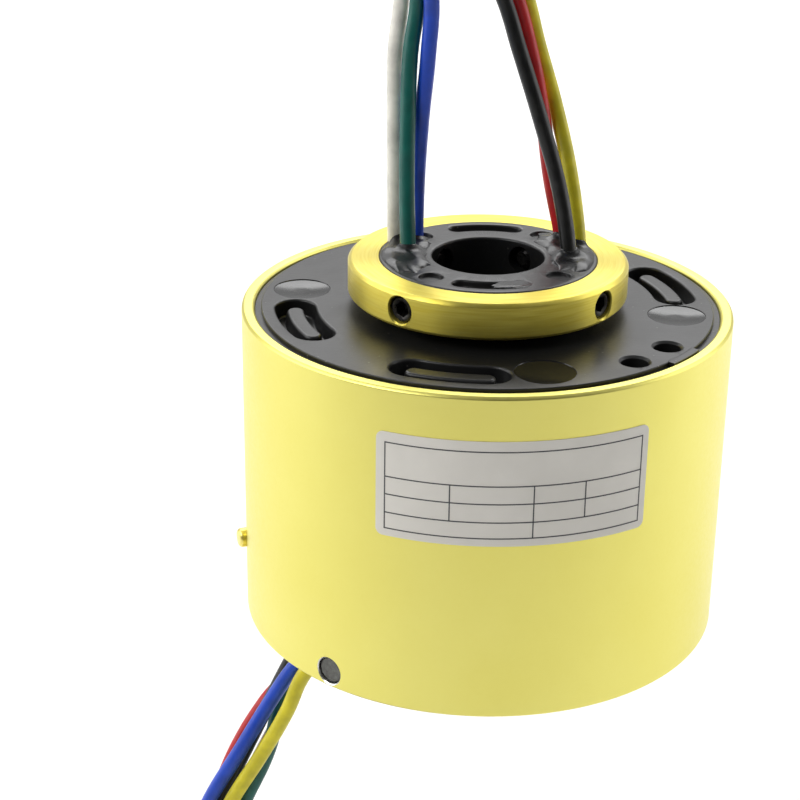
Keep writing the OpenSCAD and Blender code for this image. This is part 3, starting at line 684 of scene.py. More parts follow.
# %% Drill the tube
SINK_GROW, SINK_LENGTH = 0.15, 4.0
countersinks = []
for turn in SCREW_TURNS:
    sink = spun([(0, 0.6), (SCREW_HOLE_R, 0.6), (SCREW_HOLE_R, SINK_LENGTH - SINK_GROW),
                 (SCREW_HOLE_R + SINK_GROW, SINK_LENGTH), (SCREW_HOLE_R + SINK_GROW, 5.4),
                 (0, 5.4)], 48, closed=False)
    bmesh.ops.translate(sink, verts=sink.verts, vec=(0, 0, (TUBE_R - SINK_LENGTH) * MM))
    point_outwards(sink, turn, SCREW_Z)
    countersinks.append(sink)
cut(housing, countersinks, bare_edge)
drill = spun([(0, 22), (PIN_HOLE_R, 22), (PIN_HOLE_R, 30), (0, 30)], 32, closed=False)
bmesh.ops.rotate(drill, verts=drill.verts, cent=(0, 0, 0), matrix=Matrix.Rotation(
    -math.pi / 2, 3, "X"))
bmesh.ops.translate(drill, verts=drill.verts, vec=(PIN_X * MM, 0, PIN_Z * MM))
turn_to(drill, BRUSH_TURN - 90)
cut(housing, [drill], bare_edge)
settle(housing, "stator", "anodised_gold", "housing")

# %% [markdown]
# ## Screws and the pin
# The lower cap is held by three plain grub screws whose blank ends lie almost flush. Their grey
# is rough and a little uneven, so one noise drives colour, gloss and relief together. The pin on
# the far side is turned brass with a broken edge.

# %% Steel of the screws, brass of the pin
plain_steel = new_finish("plain_steel", (104, 104, 100), metal=0.7, rough=0.5)
pits = grain(plain_steel, 2600, 4)
wear(plain_steel, Base_Color=blend_colours(
    plain_steel, between(plain_steel, pits, 0, 1), (84, 84, 80), (122, 122, 118)))
wear(plain_steel, Roughness=between(plain_steel, pits, 0.4, 0.62))
relief(plain_steel, pits, 0.04)
brass = new_finish("brass", (246, 228, 128), metal=1.0, rough=0.3)
wear(brass, Roughness=between(brass, ring_lines(brass, 6000, 6), 0.24, 0.38))
relief(brass, grain(brass, 2400), 0.01)

SCREW_R, SCREW_DROP = 1.5, 0.32
end_face = TUBE_R - SCREW_DROP
screws = []
for turn in SCREW_TURNS:
    screw = spun([(0, end_face - 5), (SCREW_R, end_face - 5), (SCREW_R, end_face - 0.16),
                  (1.38, end_face - 0.02), (1.2, end_face), (0.9, end_face - 0.03),
                  (0, end_face - 0.05)], 48, closed=False)
    point_outwards(screw, turn, SCREW_Z)
    screws.append(screw)
cap_screws = piece_from("lower_cap_grub_screws", joined(screws), plain_steel)
settle(cap_screws, "stator", "plain_steel", "lower_cap_screws")

PIN_R, PIN_END_R, PIN_PROUD = 1.15, 0.92, 1.0
pin_tip = math.sqrt(TUBE_R ** 2 - PIN_X ** 2) + PIN_PROUD
pin = spun([(0, pin_tip - 6.5), (PIN_R, pin_tip - 6.5), (PIN_R, pin_tip - 0.25),
            (PIN_END_R, pin_tip), (0, pin_tip)], 48, closed=False)
soften(pin, rim(pin, PIN_R, pin_tip - 0.25) + rim(pin, PIN_END_R, pin_tip), 0.06, 2)
bmesh.ops.rotate(pin, verts=pin.verts, cent=(0, 0, 0),
                 matrix=Matrix.Rotation(-math.pi / 2, 3, "X"))
bmesh.ops.translate(pin, verts=pin.verts, vec=(PIN_X * MM, 0, PIN_Z * MM))
turn_to(pin, BRUSH_TURN - 90)
settle(piece_from("turned_pin", pin, brass), "stator", "brass", "bracket_pin")

# %% [markdown]
# ## Black moulded plastic
# The two end caps and the core are injection-moulded in black. Such a face is satin, with a skin
# that rises and falls by a few hundredths of a millimetre, and dust settles on it as tiny pale
# specks. The round marks that the mould's ejectors leave are smoother than the rest, so they get
# their own glossier finish.

# %% Black for caps, core and marks
MOULDED_BLACK, DUST = (27, 27, 27), (150, 148, 140)


def moulded(name, rough_low, rough_high, skin_depth, specks):
    """Black plastic between two roughnesses, with a skin of that depth and a share of dust."""
    finish = new_finish(name, MOULDED_BLACK, rough=0.4)
    skin = grain(finish, 1500, 5)
    wide = grain(finish, 130, 2)
    wear(finish, Roughness=between(finish, wide, rough_low, rough_high))
    relief(finish, skin, skin_depth)
    cells = add_node(finish, "ShaderNodeTexVoronoi", {"Vector": place_of(finish), "Scale": 620})
    dust = between(finish, cells.outputs["Distance"], specks, 0, 0.045, 0.075)
    wear(finish, Base_Color=blend_colours(finish, dust, MOULDED_BLACK, DUST))
    return finish


cap_black = moulded("black_moulding", 0.3, 0.42, 0.02, 0.35)
mark_black = moulded("ejector_mark", 0.12, 0.2, 0.004, 0.35)
core_black = moulded("core_moulding", 0.26, 0.38, 0.03, 0.25)
print("black finishes:", cap_black.name, mark_black.name, core_black.name)

# %% [markdown]
# ## The upper end cap
# A flat annulus that fills the tube. Its edge has a narrow step, interrupted by one key. The body
# is spun from its section, and only the two edges that show are rounded.

# %% Cap body
low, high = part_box("upper_end_cap")
CAP_TOP, CAP_R, CAP_FOOT = high.z / MM, high.x / MM, low.z / MM
LIP_R, SEAT_R, LIP_T = 12.45, 13.5, 1
STEP_W, STEP_DEPTH = 0.7, 0.5
KEY_TURN, KEY_SPAN = -37.7, 11.3
cap = spun([
    (SEAT_R, CAP_FOOT), (CAP_R, CAP_FOOT), (CAP_R, CAP_TOP - STEP_DEPTH),
    (CAP_R - STEP_W, CAP_TOP - STEP_DEPTH), (CAP_R - STEP_W, CAP_TOP), (LIP_R, CAP_TOP),
    (LIP_R, CAP_TOP - LIP_T), (SEAT_R, CAP_TOP - LIP_T),
])
soften(cap, rim(cap, CAP_R - STEP_W, CAP_TOP), 0.14, 3)
soften(cap, rim(cap, LIP_R, CAP_TOP), 0.12, 2)
upper_cap = piece_from("upper_cap", cap, cap_black)
print("cap face at", round(CAP_TOP, 2), "radius", round(CAP_R, 2))

# %% [markdown]
# Four curved recesses each hold a rib with a rounded top, three round marks are dished, and two
# holes wait for the screws of an anti-rotation tab. They are cut with shapes whose mouths are
# already rounded, because a bevel after the cut would break at the small faces. The marks are cut
# last, with a finish of their own.

# %% Recesses, marks and tapped holes
RECESS_R, RECESS_W, RECESS_HALF, RECESS_DEPTH = 21.9, 4.6, 11, 2
MOUTH, FLOOR_R = 0.3, 0.35
RECESS_TURNS = (16.7, 77, 197.2, 257.8)
MARK_R, MARK_CIRCLE, MARK_DEPTH, MARK_TURNS = 3.3, 21.6, 0.35, (-75.6, -9.8, 170.6)
TAB_HOLE_R, TAB_CIRCLE, TAB_DEPTH, TAB_TURNS = 1.5, 23.25, 4, (-49.5, -34.8)
ABOVE = 0.3
hollows = []
for turn in RECESS_TURNS:
    hollow, face = curved_slot(RECESS_R, RECESS_W + 2 * MOUTH, RECESS_HALF, CAP_TOP + ABOVE)
    walls = RECESS_DEPTH - MOUTH - FLOOR_R
    stepped(hollow, face, [(0, -ABOVE)] + round_mouth(MOUTH) + [(0.05, -walls)]
            + round_floor(FLOOR_R))
    turn_to(hollow, turn)
    hollows.append(hollow)
for turn in TAB_TURNS:
    hollow, face = disc(TAB_HOLE_R + 0.3, CAP_TOP + ABOVE, 40)
    stepped(hollow, face, [(0, -ABOVE), (0.05, -0.02), (0.25, -0.25), (0, -TAB_DEPTH + 0.27)])
    bmesh.ops.translate(hollow, verts=hollow.verts, vec=(TAB_CIRCLE * MM, 0, 0))
    turn_to(hollow, turn)
    hollows.append(hollow)
cut(upper_cap, hollows, cap_black)

marks = []
for turn in MARK_TURNS:
    dish, face = disc(MARK_R, CAP_TOP + ABOVE, 64)
    bowl = [1, 0.97, 0.9, 0.78, 0.62, 0.44, 0.24]
    depths = [MARK_DEPTH * (0.25 + 0.75 * (1 - share ** 2)) for share in bowl]
    stepped(dish, face, [(0, -ABOVE), (0.03, -depths[0])] + [
        (MARK_R * (a - b), up - down)
        for a, b, up, down in zip(bowl, bowl[1:], depths, depths[1:])])
    bmesh.ops.translate(dish, verts=dish.verts, vec=(MARK_CIRCLE * MM, 0, 0))
    turn_to(dish, turn)
    marks.append(dish)
cut(upper_cap, marks, mark_black)
print("cut", len(hollows), "hollows and", len(marks), "marks")

# %% [markdown]
# The ribs stand on the floor of each recess and reach almost to the face. They and the key at the
# edge are closed shapes of their own that overlap the cap, as if welded on.

# %% Ribs and key
RIB_W, RIB_HALF, RIB_DROP = 1.9, 10.2, 0.3
extras = []
for turn in RECESS_TURNS:
    rib, face = curved_slot(RECESS_R, RIB_W + 0.5, RIB_HALF, CAP_TOP - RECESS_DEPTH - 0.1)
    rise = RECESS_DEPTH + 0.1 - RIB_DROP - FLOOR_R
    crown = [(inward, -down) for inward, down in round_floor(FLOOR_R, 4)]
    stepped(rib, face, [(0.22, rise)] + crown)
    turn_to(rib, turn)
    extras.append(rib)
key = bmesh.new()
corners = [key.verts.new((r * MM, 0, z * MM)) for r, z in (
    (CAP_R - STEP_W - 0.2, CAP_TOP - STEP_DEPTH - 0.1), (CAP_R, CAP_TOP - STEP_DEPTH - 0.1),
    (CAP_R, CAP_TOP), (CAP_R - STEP_W - 0.2, CAP_TOP))]
face = key.faces.new(corners)
bmesh.ops.spin(key, geom=[face], cent=(0, 0, 0), axis=(0, 0, 1), angle=math.radians(KEY_SPAN),
               steps=12, use_merge=False)
bmesh.ops.remove_doubles(key, verts=key.verts, dist=0.001 * MM)
bmesh.ops.holes_fill(key, edges=[e for e in key.edges if e.is_boundary], sides=0)
bmesh.ops.recalc_face_normals(key, faces=key.faces)
turn_to(key, KEY_TURN - KEY_SPAN / 2)
extras.append(key)
ribs = piece_from("upper_cap_ribs", joined(extras), cap_black)
settle(ribs, "stator", "black_moulding")
settle(upper_cap, "stator", "black_moulding", "upper_end_cap")

# %% [markdown]
# ## The shaft collar
# The collar is what the user tightens on the shaft. It is turned from the same aluminium, and its
# chamfers and tool lines show more than on the tube. Four holes for set screws are drilled
# through it and countersunk a little.

# %% Collar
low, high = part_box("clamp_collar")
COLLAR_R, COLLAR_FOOT, COLLAR_TOP = high.x / MM, low.z / MM, high.z / MM
HEAD_R, COLLAR_CHAMFER = 12.4, 0.4
SET_HOLE_R, SET_MOUTH_R = 1.56, 1.76
SCREW_LEVEL = (COLLAR_FOOT + COLLAR_TOP) / 2
SET_SCREW_TURNS = (51, 141, 231, 321)
band = spun([
    (HEAD_R, COLLAR_FOOT), (COLLAR_R - COLLAR_CHAMFER, COLLAR_FOOT),
    (COLLAR_R, COLLAR_FOOT + COLLAR_CHAMFER), (COLLAR_R, COLLAR_TOP - COLLAR_CHAMFER),
    (COLLAR_R - COLLAR_CHAMFER, COLLAR_TOP), (HEAD_R, COLLAR_TOP),
])
for radius, level in ((COLLAR_R, COLLAR_FOOT + COLLAR_CHAMFER),
                      (COLLAR_R, COLLAR_TOP - COLLAR_CHAMFER),
                      (COLLAR_R - COLLAR_CHAMFER, COLLAR_TOP),
                      (COLLAR_R - COLLAR_CHAMFER, COLLAR_FOOT)):
    soften(band, rim(band, radius, level), 0.1, 2)
soften(band, rim(band, HEAD_R, COLLAR_TOP), 0.06, 2)
collar = piece_from("shaft_collar", band, collar_gold)
holes = []
for turn in SET_SCREW_TURNS:
    hole = spun([(0, 11), (SET_HOLE_R, 11), (SET_HOLE_R, COLLAR_R - 0.22),
                 (SET_MOUTH_R, COLLAR_R + 0.02), (SET_MOUTH_R, 17), (0, 17)], 48, closed=False)
    point_outwards(hole, turn, SCREW_LEVEL)
    holes.append(hole)
cut(collar, holes, collar_gold)
settle(collar, "rotor", "anodised_gold", "clamp_collar")

# %% [markdown]
# The set screws are black-oxide steel with a hexagon socket. The socket is a ring of 48 points
# pulled onto the six flats of a hexagon, so it joins the round face without a seam, and a small
# bevelled mouth leads the key in.

# %% Set screws with sockets
black_oxide = new_finish("black_oxide", (38, 38, 40), metal=0.85, rough=0.3)
oxide = grain(black_oxide, 2400, 4)
wear(black_oxide, Base_Color=blend_colours(
    black_oxide, between(black_oxide, oxide, 0, 1), (30, 30, 32), (66, 64, 62)))
wear(black_oxide, Roughness=between(black_oxide, oxide, 0.2, 0.42))
relief(black_oxide, oxide, 0.015)
SOCKET_FLAT, SET_SCREW_DROP = 0.78, 0.42


def to_hexagon(corners, flat):
    """Moves each corner outwards or inwards onto a hexagon with that half width across flats."""
    for corner in corners:
        angle = math.atan2(corner.co.y, corner.co.x)
        lean_off = (angle % (math.pi / 3)) - math.pi / 6
        corner.co.xy = corner.co.xy.normalized() * (flat / math.cos(lean_off) * MM)


screws = []
for turn in SET_SCREW_TURNS:
    face_z = COLLAR_R - SET_SCREW_DROP
    screw = spun([(0, 6.75), (0.75, 6.75), (1.5, 7.45), (1.5, face_z - 0.22), (1.28, face_z),
                  (1.06, face_z), (0.92, face_z - 0.12), (0.9, face_z - 1.5), (0, face_z - 1.75)],
                 48, closed=False)
    for level, flat in ((face_z - 0.12, SOCKET_FLAT + 0.02), (face_z - 1.5, SOCKET_FLAT)):
        ring = [v for v in screw.verts if abs(v.co.z / MM - level) < 0.01
                and v.co.xy.length / MM < 1]
        to_hexagon(ring, flat)
    turn_to(screw, 12)
    point_outwards(screw, turn, SCREW_LEVEL)
    screws.append(screw)
settle(piece_from("set_screws", joined(screws), black_oxide), "rotor", "black_oxide",
       "collar_set_screws")

# %% [markdown]
# ## The rotor's core
# One black moulding carries everything that turns with the shaft: a long tube through both
# bearings and all the contact rings, with a head inside the collar. The mouth of the bore is
# rounded.

# %% Core body
low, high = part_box("rotor_core")
HEAD_TOP, CORE_FOOT = high.z / MM, low.z / MM
BORE_R, CORE_R, SHOULDER_R, HEAD_FOOT, SHOULDER_Z = 6.35, 10, 11.05, 38.3, 37
core = spun([
    (BORE_R, CORE_FOOT + 0.3), (BORE_R + 0.3, CORE_FOOT), (CORE_R - 0.3, CORE_FOOT),
    (CORE_R, CORE_FOOT + 0.3), (CORE_R, SHOULDER_Z), (SHOULDER_R, SHOULDER_Z),
    (SHOULDER_R, HEAD_FOOT), (HEAD_R, HEAD_FOOT), (HEAD_R, HEAD_TOP), (BORE_R, HEAD_TOP),
])
soften(core, rim(core, HEAD_R, HEAD_TOP), 0.28, 4)
soften(core, rim(core, BORE_R, HEAD_TOP), 0.3, 4)
rotor_core = piece_from("core_moulding", core, core_black)
print("core from", CORE_FOOT, "to", round(HEAD_TOP, 2))

# %% [markdown]
# The head has two windows where the leads come up, four round pockets, two curved grooves, and the
# four holes that the set screws pass through. All are cut in one go, since they share a finish.

# %% Windows, pockets and grooves
WINDOW_TURNS, WINDOW_HALF, WINDOW_MID, WINDOW_W, WINDOW_DEPTH = (0, 180), 17, 9.9, 3.4, 3
POCKET_R, POCKET_CIRCLE, POCKET_TURNS = 1.35, 10, (49, 139, 229, 319)
POCKET_MOUTH, POCKET_WALL, POCKET_FLOOR = 0.14, 0.14, 0.12
GROOVE_TURNS, GROOVE_HALF, GROOVE_W, GROOVE_DEPTH = (90, 270), 19, 2, 0.8
hollows = []
for turns, middle, width, half, depth, mouth in (
        (WINDOW_TURNS, WINDOW_MID, WINDOW_W, WINDOW_HALF, WINDOW_DEPTH, 0.1),
        (GROOVE_TURNS, 10, GROOVE_W, GROOVE_HALF, GROOVE_DEPTH, 0.28)):
    for turn in turns:
        hollow, face = curved_slot(middle, width + 2 * mouth, half, HEAD_TOP + ABOVE)
        stepped(hollow, face, [(0, -ABOVE)] + round_mouth(mouth)
                + [(0.03, -(depth - mouth - 0.2))] + round_floor(0.2))
        turn_to(hollow, turn)
        hollows.append(hollow)
for turn in POCKET_TURNS:
    hollow, face = disc(POCKET_R + POCKET_MOUTH, HEAD_TOP + ABOVE, 40)
    stepped(hollow, face, [(0, -ABOVE)] + round_mouth(POCKET_MOUTH, 3) + [(0.02, -POCKET_WALL)]
            + round_floor(POCKET_FLOOR, 2))
    bmesh.ops.translate(hollow, verts=hollow.verts, vec=(POCKET_CIRCLE * MM, 0, 0))
    turn_to(hollow, turn)
    hollows.append(hollow)
for turn in SET_SCREW_TURNS:
    hollow = spun([(0, 5.5), (SET_HOLE_R, 5.5), (SET_HOLE_R, 13), (0, 13)], 32, closed=False)
    point_outwards(hollow, turn, SCREW_LEVEL)
    hollows.append(hollow)
cut(rotor_core, hollows, core_black)
settle(rotor_core, "rotor", "black_moulding", "rotor_core")

# %% [markdown]
# ## Casting resin round the leads
# The leads are sealed with black resin that was poured by hand and set as it liked: glossy,
# wrinkled, and drawn up round every lead by its own surface tension. Its finish is almost black,
# and everything that shows on it is gloss, so a noise changes the gloss from place to place.

# %% Glossy resin
resin = new_finish("casting_resin", (14, 14, 15), rough=0.14)
shader = resin.node_tree.nodes["Principled BSDF"]
shader.inputs["Coat Weight"].default_value = 0.15
shader.inputs["Coat Roughness"].default_value = 0.12
shader.inputs["Specular IOR Level"].default_value = 0.35
wear(resin, Roughness=between(resin, grain(resin, 500, 3), 0.24, 0.42))
relief(resin, grain(resin, 380, 2), 0.03)
print("resin finish:", resin.name)

# %% [markdown]
# A mound could be sculpted, or poured as a fluid. A flat grid is enough, and gives the same result
# every time. Its points are bent to the place, and then lifted by three things added together: a
# low pillow, folds from two noises, and a small collar of resin at each lead.

# %% A patch of resin
MENISCUS, MENISCUS_REACH, LOWEST = 0.7, 0.38, 0.05


def resin_patch(name, spot_of, height, base, down, stems, corner=0.28):
    """Resin on the level face at base. spot_of gives a flat place from across and along."""
    patch = bmesh.new()
    bmesh.ops.create_grid(patch, x_segments=48, y_segments=120, size=1)
    for knot in patch.verts:
        across, along = knot.co.x, knot.co.y
        inside = 1 - max(abs(across), abs(along)) ** 5
        ragged = 0.16 * noise.noise(Vector((across * 2, along * 3, base)))
        spot = spot_of(across * math.sqrt(1 - corner * along ** 2) * (1 + ragged / 2),
                       along * math.sqrt(1 - corner * across ** 2) * (1 + ragged))
        fold = noise.noise(spot * 0.42 + Vector((7, 0, 0)))
        ridge = 0.5 - abs(noise.noise(spot * 0.3 + Vector((3, 5, 0))))
        lift = height * (0.8 + 0.4 * fold + 0.5 * ridge)
        for stem in stems:
            gap = max((spot - Vector((stem.x, stem.y, 0))).length - LEAD_D / 2, 0)
            lift += MENISCUS * math.exp(-gap / MENISCUS_REACH)
        rise = -0.06 + max(lift, LOWEST) * inside
        knot.co = Vector((spot.x, spot.y, base - rise if down else base + rise)) * MM
    skirt = bmesh.ops.extrude_edge_only(patch, edges=[e for e in patch.edges if e.is_boundary])
    for item in skirt["geom"]:
        if isinstance(item, bmesh.types.BMVert):
            item.co.z = (base + 0.3 if down else base - 0.3) * MM
    bmesh.ops.holes_fill(patch, edges=[e for e in patch.edges if e.is_boundary], sides=0)
    bmesh.ops.recalc_face_normals(patch, faces=patch.faces)
    return piece_from(name, patch, resin, crisp=60)


def round_the_bore(direction, half, inner, outer):
    """Bends a square patch round the bore, between two radii and to both sides of a direction."""
    middle, reach = (inner + outer) / 2, (outer - inner) / 2

    def spot_of(across, along):
        radius = middle + reach * across
        angle = math.radians(direction + half * along)
        return Vector((radius * math.cos(angle), radius * math.sin(angle), 0))
    return spot_of


print("resin climbs a lead by", MENISCUS, "mm")

# %% [markdown]
# Two mounds close the windows, each with its own three leads, and a thin smear lies at the front,
# where a drop ran along the groove.

# %% Resin in the rotor's face
left_stems = [rotor_lines[colour][0] for colour in ("white", "green", "blue")]
right_stems = [rotor_lines[colour][0] for colour in ("black", "red", "yellow")]
for side, place, stems in (("left", round_the_bore(178, 38, 7.0, 12.2), left_stems),
                           ("right", round_the_bore(10, 40, 7.0, 12.2), right_stems)):
    blob = resin_patch("resin_" + side, place, 0.5, HEAD_TOP, False, stems)
    settle(blob, "rotor", "potting", "potting_" + side)
smear = resin_patch("resin_smear", round_the_bore(284, 13, 8.7, 11.3), 0.16, HEAD_TOP, False,
                    [], 0.5)
settle(smear, "rotor", "potting")

# %% [markdown]
# ## The rating label
# A pale film with an empty ruled form stands where the real label is, with nothing written in it.
# It could be a flat plane with a shrinkwrap. Here a flat sheet is sliced many times by planes, and
# its points are then wrapped round the tube by their angle, which keeps its length exact.

# %% Label film
film_silver = new_finish("label_film", (238, 234, 225), metal=0.0, rough=0.42)
wear(film_silver, Roughness=between(film_silver, grain(film_silver, 500, 3), 0.34, 0.5))
wear(film_silver, Base_Color=blend_colours(
    film_silver, between(film_silver, grain(film_silver, 160, 3), 0, 1),
    (238, 234, 225), (230, 226, 217)))
relief(film_silver, grain(film_silver, 900, 2), 0.006)
LABEL_TURN, LABEL_Z, LABEL_LEN, LABEL_H, LABEL_T = -85.1, 27.1, 30, 12, 0.1


def bent_sheet(length, height, middle_turn, middle_z, radius, thickness, corner=0.0, steps=64):
    """A flat sheet of that length and height, bent round Z at that radius."""
    sheet = bmesh.new()
    bmesh.ops.create_grid(sheet, x_segments=1, y_segments=1, size=0.5)
    bmesh.ops.scale(sheet, vec=(length, height, 1), verts=sheet.verts)
    if corner:
        bmesh.ops.bevel(sheet, geom=sheet.verts[:], offset=corner, segments=5, profile=0.5,
                        affect="VERTICES", material=-1)
    for step in range(1, steps):
        place = Vector((length * (step / steps - 0.5), 0, 0))
        bmesh.ops.bisect_plane(sheet, geom=sheet.verts[:] + sheet.edges[:] + sheet.faces[:],
                               plane_co=place, plane_no=(1, 0, 0), dist=1e-6)
    for corner_point in sheet.verts:
        angle = math.radians(middle_turn) + corner_point.co.x / radius
        level = middle_z + corner_point.co.y
        corner_point.co = Vector((radius * math.cos(angle), radius * math.sin(angle), level)) * MM
    bmesh.ops.recalc_face_normals(sheet, faces=sheet.faces)
    out = sheet.faces[:][0]
    if out.normal.dot(out.calc_center_median().xy.to_3d()) < 0:
        bmesh.ops.reverse_faces(sheet, faces=sheet.faces)
    grown = bmesh.ops.extrude_face_region(sheet, geom=sheet.faces[:])
    for item in grown["geom"]:
        if isinstance(item, bmesh.types.BMVert):
            item.co.xy = item.co.xy * ((radius + thickness) / radius)
    bmesh.ops.recalc_face_normals(sheet, faces=sheet.faces)
    return sheet


film = bent_sheet(LABEL_LEN, LABEL_H, LABEL_TURN, LABEL_Z, TUBE_R - 0.01, LABEL_T, 0.8)
settle(piece_from("label_film", film, film_silver), "stator", "label", "label")

# %% [markdown]
# The form is a frame with three lines across it and a few columns. The rules are printed, so they
# are thin dark strips of the same bent sheet that stand 0.01 mm above the film.

# %% Printed rules
rule_grey = new_finish("printed_rules", (74, 74, 76), rough=0.5)
wear(rule_grey, Roughness=between(rule_grey, grain(rule_grey, 900), 0.42, 0.6))
RULE_W, RULE_R = 0.13, TUBE_R + LABEL_T - 0.02
FORM_LEFT, FORM_RIGHT, FORM_TOP, FORM_FOOT = -113.7, -56.1, 31.93, 22.0
ROWS = (28.02, 25.98, 23.86)
COLUMNS = ((-99.3, 28.02, 23.86), (-81.3, 28.02, 22.0), (-69.8, 28.02, 23.86))
rules = []


def rule(turn_a, turn_b, z_a, z_b):
    """One strip between two directions and two levels."""
    length = abs(math.radians(turn_b - turn_a)) * RULE_R + RULE_W
    rules.append(bent_sheet(length, abs(z_b - z_a) + RULE_W, (turn_a + turn_b) / 2,
                            (z_a + z_b) / 2, RULE_R, 0.03, steps=max(2, int(length * 2))))


for level in (FORM_TOP, FORM_FOOT) + ROWS:
    rule(FORM_LEFT, FORM_RIGHT, level, level)
for turn in (FORM_LEFT, FORM_RIGHT):
    rule(turn, turn, FORM_FOOT, FORM_TOP)
for turn, top, foot in COLUMNS:
    rule(turn, turn, foot, top)
settle(piece_from("label_rules", joined(rules), rule_grey), "stator", "label")

# %% [markdown]
# ## The lower cap and its gland
# The lower cap closes the tube from below and carries the lower bearing. Its face lies a little
# inside the rim. It is spun from a section as the upper one is.

# %% Lower cap
low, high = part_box("lower_end_cap")
LOWER_FACE, LOWER_TOP, BOSS_TOP = low.z / MM, 4.5, high.z / MM
LOWER_LIP_R, LOWER_SEAT, BOSS_R = 12.03, 2.0, 15.2
plate = spun([
    (LOWER_LIP_R, LOWER_FACE), (CAP_R - 0.5, LOWER_FACE), (CAP_R - 0.5, LOWER_FACE + 0.3),
    (CAP_R, LOWER_FACE + 0.3), (CAP_R, LOWER_TOP), (BOSS_R, LOWER_TOP), (BOSS_R, BOSS_TOP),
    (SEAT_R, BOSS_TOP), (SEAT_R, LOWER_SEAT), (LOWER_LIP_R, LOWER_SEAT),
])
soften(plate, rim(plate, CAP_R - 0.5, LOWER_FACE) + rim(plate, LOWER_LIP_R, LOWER_FACE), 0.14, 3)
lower_cap = piece_from("lower_cap", plate, cap_black)
print("lower face at", round(LOWER_FACE, 2), "boss to", round(BOSS_TOP, 2))

# %% [markdown]
# The leads pass through one long slot. A box whose upright edges are rounded by half its width is
# just such a slot. Three bores take the grub screws, and four shallow ejector marks show that the
# cap is moulded.

# %% Slot, bores and marks of the lower cap
GLAND_Y, GLAND_HALF, GLAND_W = 20.565, 4.875, 2.8
gland = bmesh.new()
bmesh.ops.create_cube(gland, size=1)
bmesh.ops.scale(gland, vec=Vector((2 * GLAND_HALF + GLAND_W, GLAND_W, 8)) * MM, verts=gland.verts)
upright = [e for e in gland.edges if abs(e.verts[0].co.z - e.verts[1].co.z) > MM]
bmesh.ops.bevel(gland, geom=upright, offset=(GLAND_W / 2 - 0.01) * MM, offset_type="OFFSET",
                segments=8, profile=0.5, affect="EDGES", material=-1)
bmesh.ops.translate(gland, verts=gland.verts, vec=(0, GLAND_Y * MM, 2 * MM))
turn_to(gland, BRUSH_TURN - 90)
BORE_FIT_R = 1.55
bores = []
for turn in SCREW_TURNS:
    bore = spun([(0, 20), (BORE_FIT_R, 20), (BORE_FIT_R, 28), (0, 28)], 32, closed=False)
    point_outwards(bore, turn, SCREW_Z)
    bores.append(bore)
cut(lower_cap, [gland] + bores, cap_black)
DISH_R, DISH_CIRCLE, DISH_TURNS = 2.4, 19.5, (20, 80, 150, 330)
dishes = []
for turn in DISH_TURNS:
    dish, face = disc(DISH_R, -LOWER_FACE + ABOVE, 48)
    stepped(dish, face, [(0, -ABOVE), (0.03, -0.12)])
    bmesh.ops.rotate(dish, verts=dish.verts, cent=(0, 0, 0), matrix=Matrix.Rotation(
        math.pi, 3, "X"))
    bmesh.ops.translate(dish, verts=dish.verts, vec=(DISH_CIRCLE * MM, 0, 0))
    turn_to(dish, turn)
    dishes.append(dish)
cut(lower_cap, dishes, mark_black)
settle(lower_cap, "stator", "black_moulding", "lower_end_cap")

# %% [markdown]
# The slot is filled with the same resin as above. It hangs below the face, so the patch grows
# downwards, and it follows a straight slot instead of a circle.

# %% Resin in the gland
def along_the_gland(across, along):
    """Stretches a square patch over the slot."""
    flat = Vector(((GLAND_HALF + GLAND_W / 2 - 0.1) * along,
                   GLAND_Y + (GLAND_W / 2 - 0.05) * across, 0))
    return Matrix.Rotation(math.radians(BRUSH_TURN - 90), 3, "Z") @ flat


gland_stems = [stator_lines[colour][0] for colour in LEAD_COLOURS]
settle(resin_patch("resin_gland", along_the_gland, 0.3, LOWER_FACE, True, gland_stems, 0.1),
       "stator", "potting", "lead_gland")

# %% [markdown]
# ## Ties and bare ends
# Each coil is held by two nylon ties. A tie follows the section of the coil that it holds, so the
# section's outline is rounded at its corners, made as wide as the tie, and given its thickness
# with solidify. The band is still open at both sides when its normals are set, so a look at its
# outermost face decides whether they have to be turned round first.

# %% Strap of a tie
nylon = new_finish("black_nylon", (30, 30, 31), rough=0.42)
wear(nylon, Roughness=between(nylon, grain(nylon, 800, 3), 0.34, 0.55))
relief(nylon, grain(nylon, 1800, 3), 0.015)
TIE_W, TIE_T, COIL_IN, COIL_OUT, SOFT = 2.5, 1.0, 8.05, 13.75, 1.2


def tie_strap(in_h, out_h):
    """A band round a coil's section, which is in_h high inside and out_h high outside."""
    strap = bmesh.new()
    outline = ((COIL_IN, SOFT), (COIL_IN + SOFT, 0), (COIL_OUT - SOFT, 0), (COIL_OUT, SOFT),
               (COIL_OUT, out_h - SOFT), (COIL_OUT - SOFT, out_h), (COIL_IN + SOFT, in_h),
               (COIL_IN, in_h - SOFT))
    corners = [strap.verts.new((r * MM, -TIE_W / 2 * MM, z * MM)) for r, z in outline]
    strap.faces.new(corners)
    bmesh.ops.bevel(strap, geom=strap.verts[:], offset=0.5 * MM, segments=4, profile=0.5,
                    affect="VERTICES", material=-1)
    section = bmesh.ops.extrude_face_region(strap, geom=strap.faces[:])
    far = [item for item in section["geom"] if isinstance(item, bmesh.types.BMVert)]
    bmesh.ops.translate(strap, verts=far, vec=(0, TIE_W * MM, 0))
    ends = [face for face in strap.faces if len(face.verts) > 4]
    bmesh.ops.delete(strap, geom=ends, context="FACES_ONLY")
    bmesh.ops.recalc_face_normals(strap, faces=strap.faces)
    outermost = max(strap.faces, key=lambda face: face.calc_center_median().x)
    if outermost.normal.x < 0:
        bmesh.ops.reverse_faces(strap, faces=strap.faces)
    bmesh.ops.solidify(strap, geom=strap.faces[:], thickness=-(TIE_T - 0.1) * MM)
    return strap


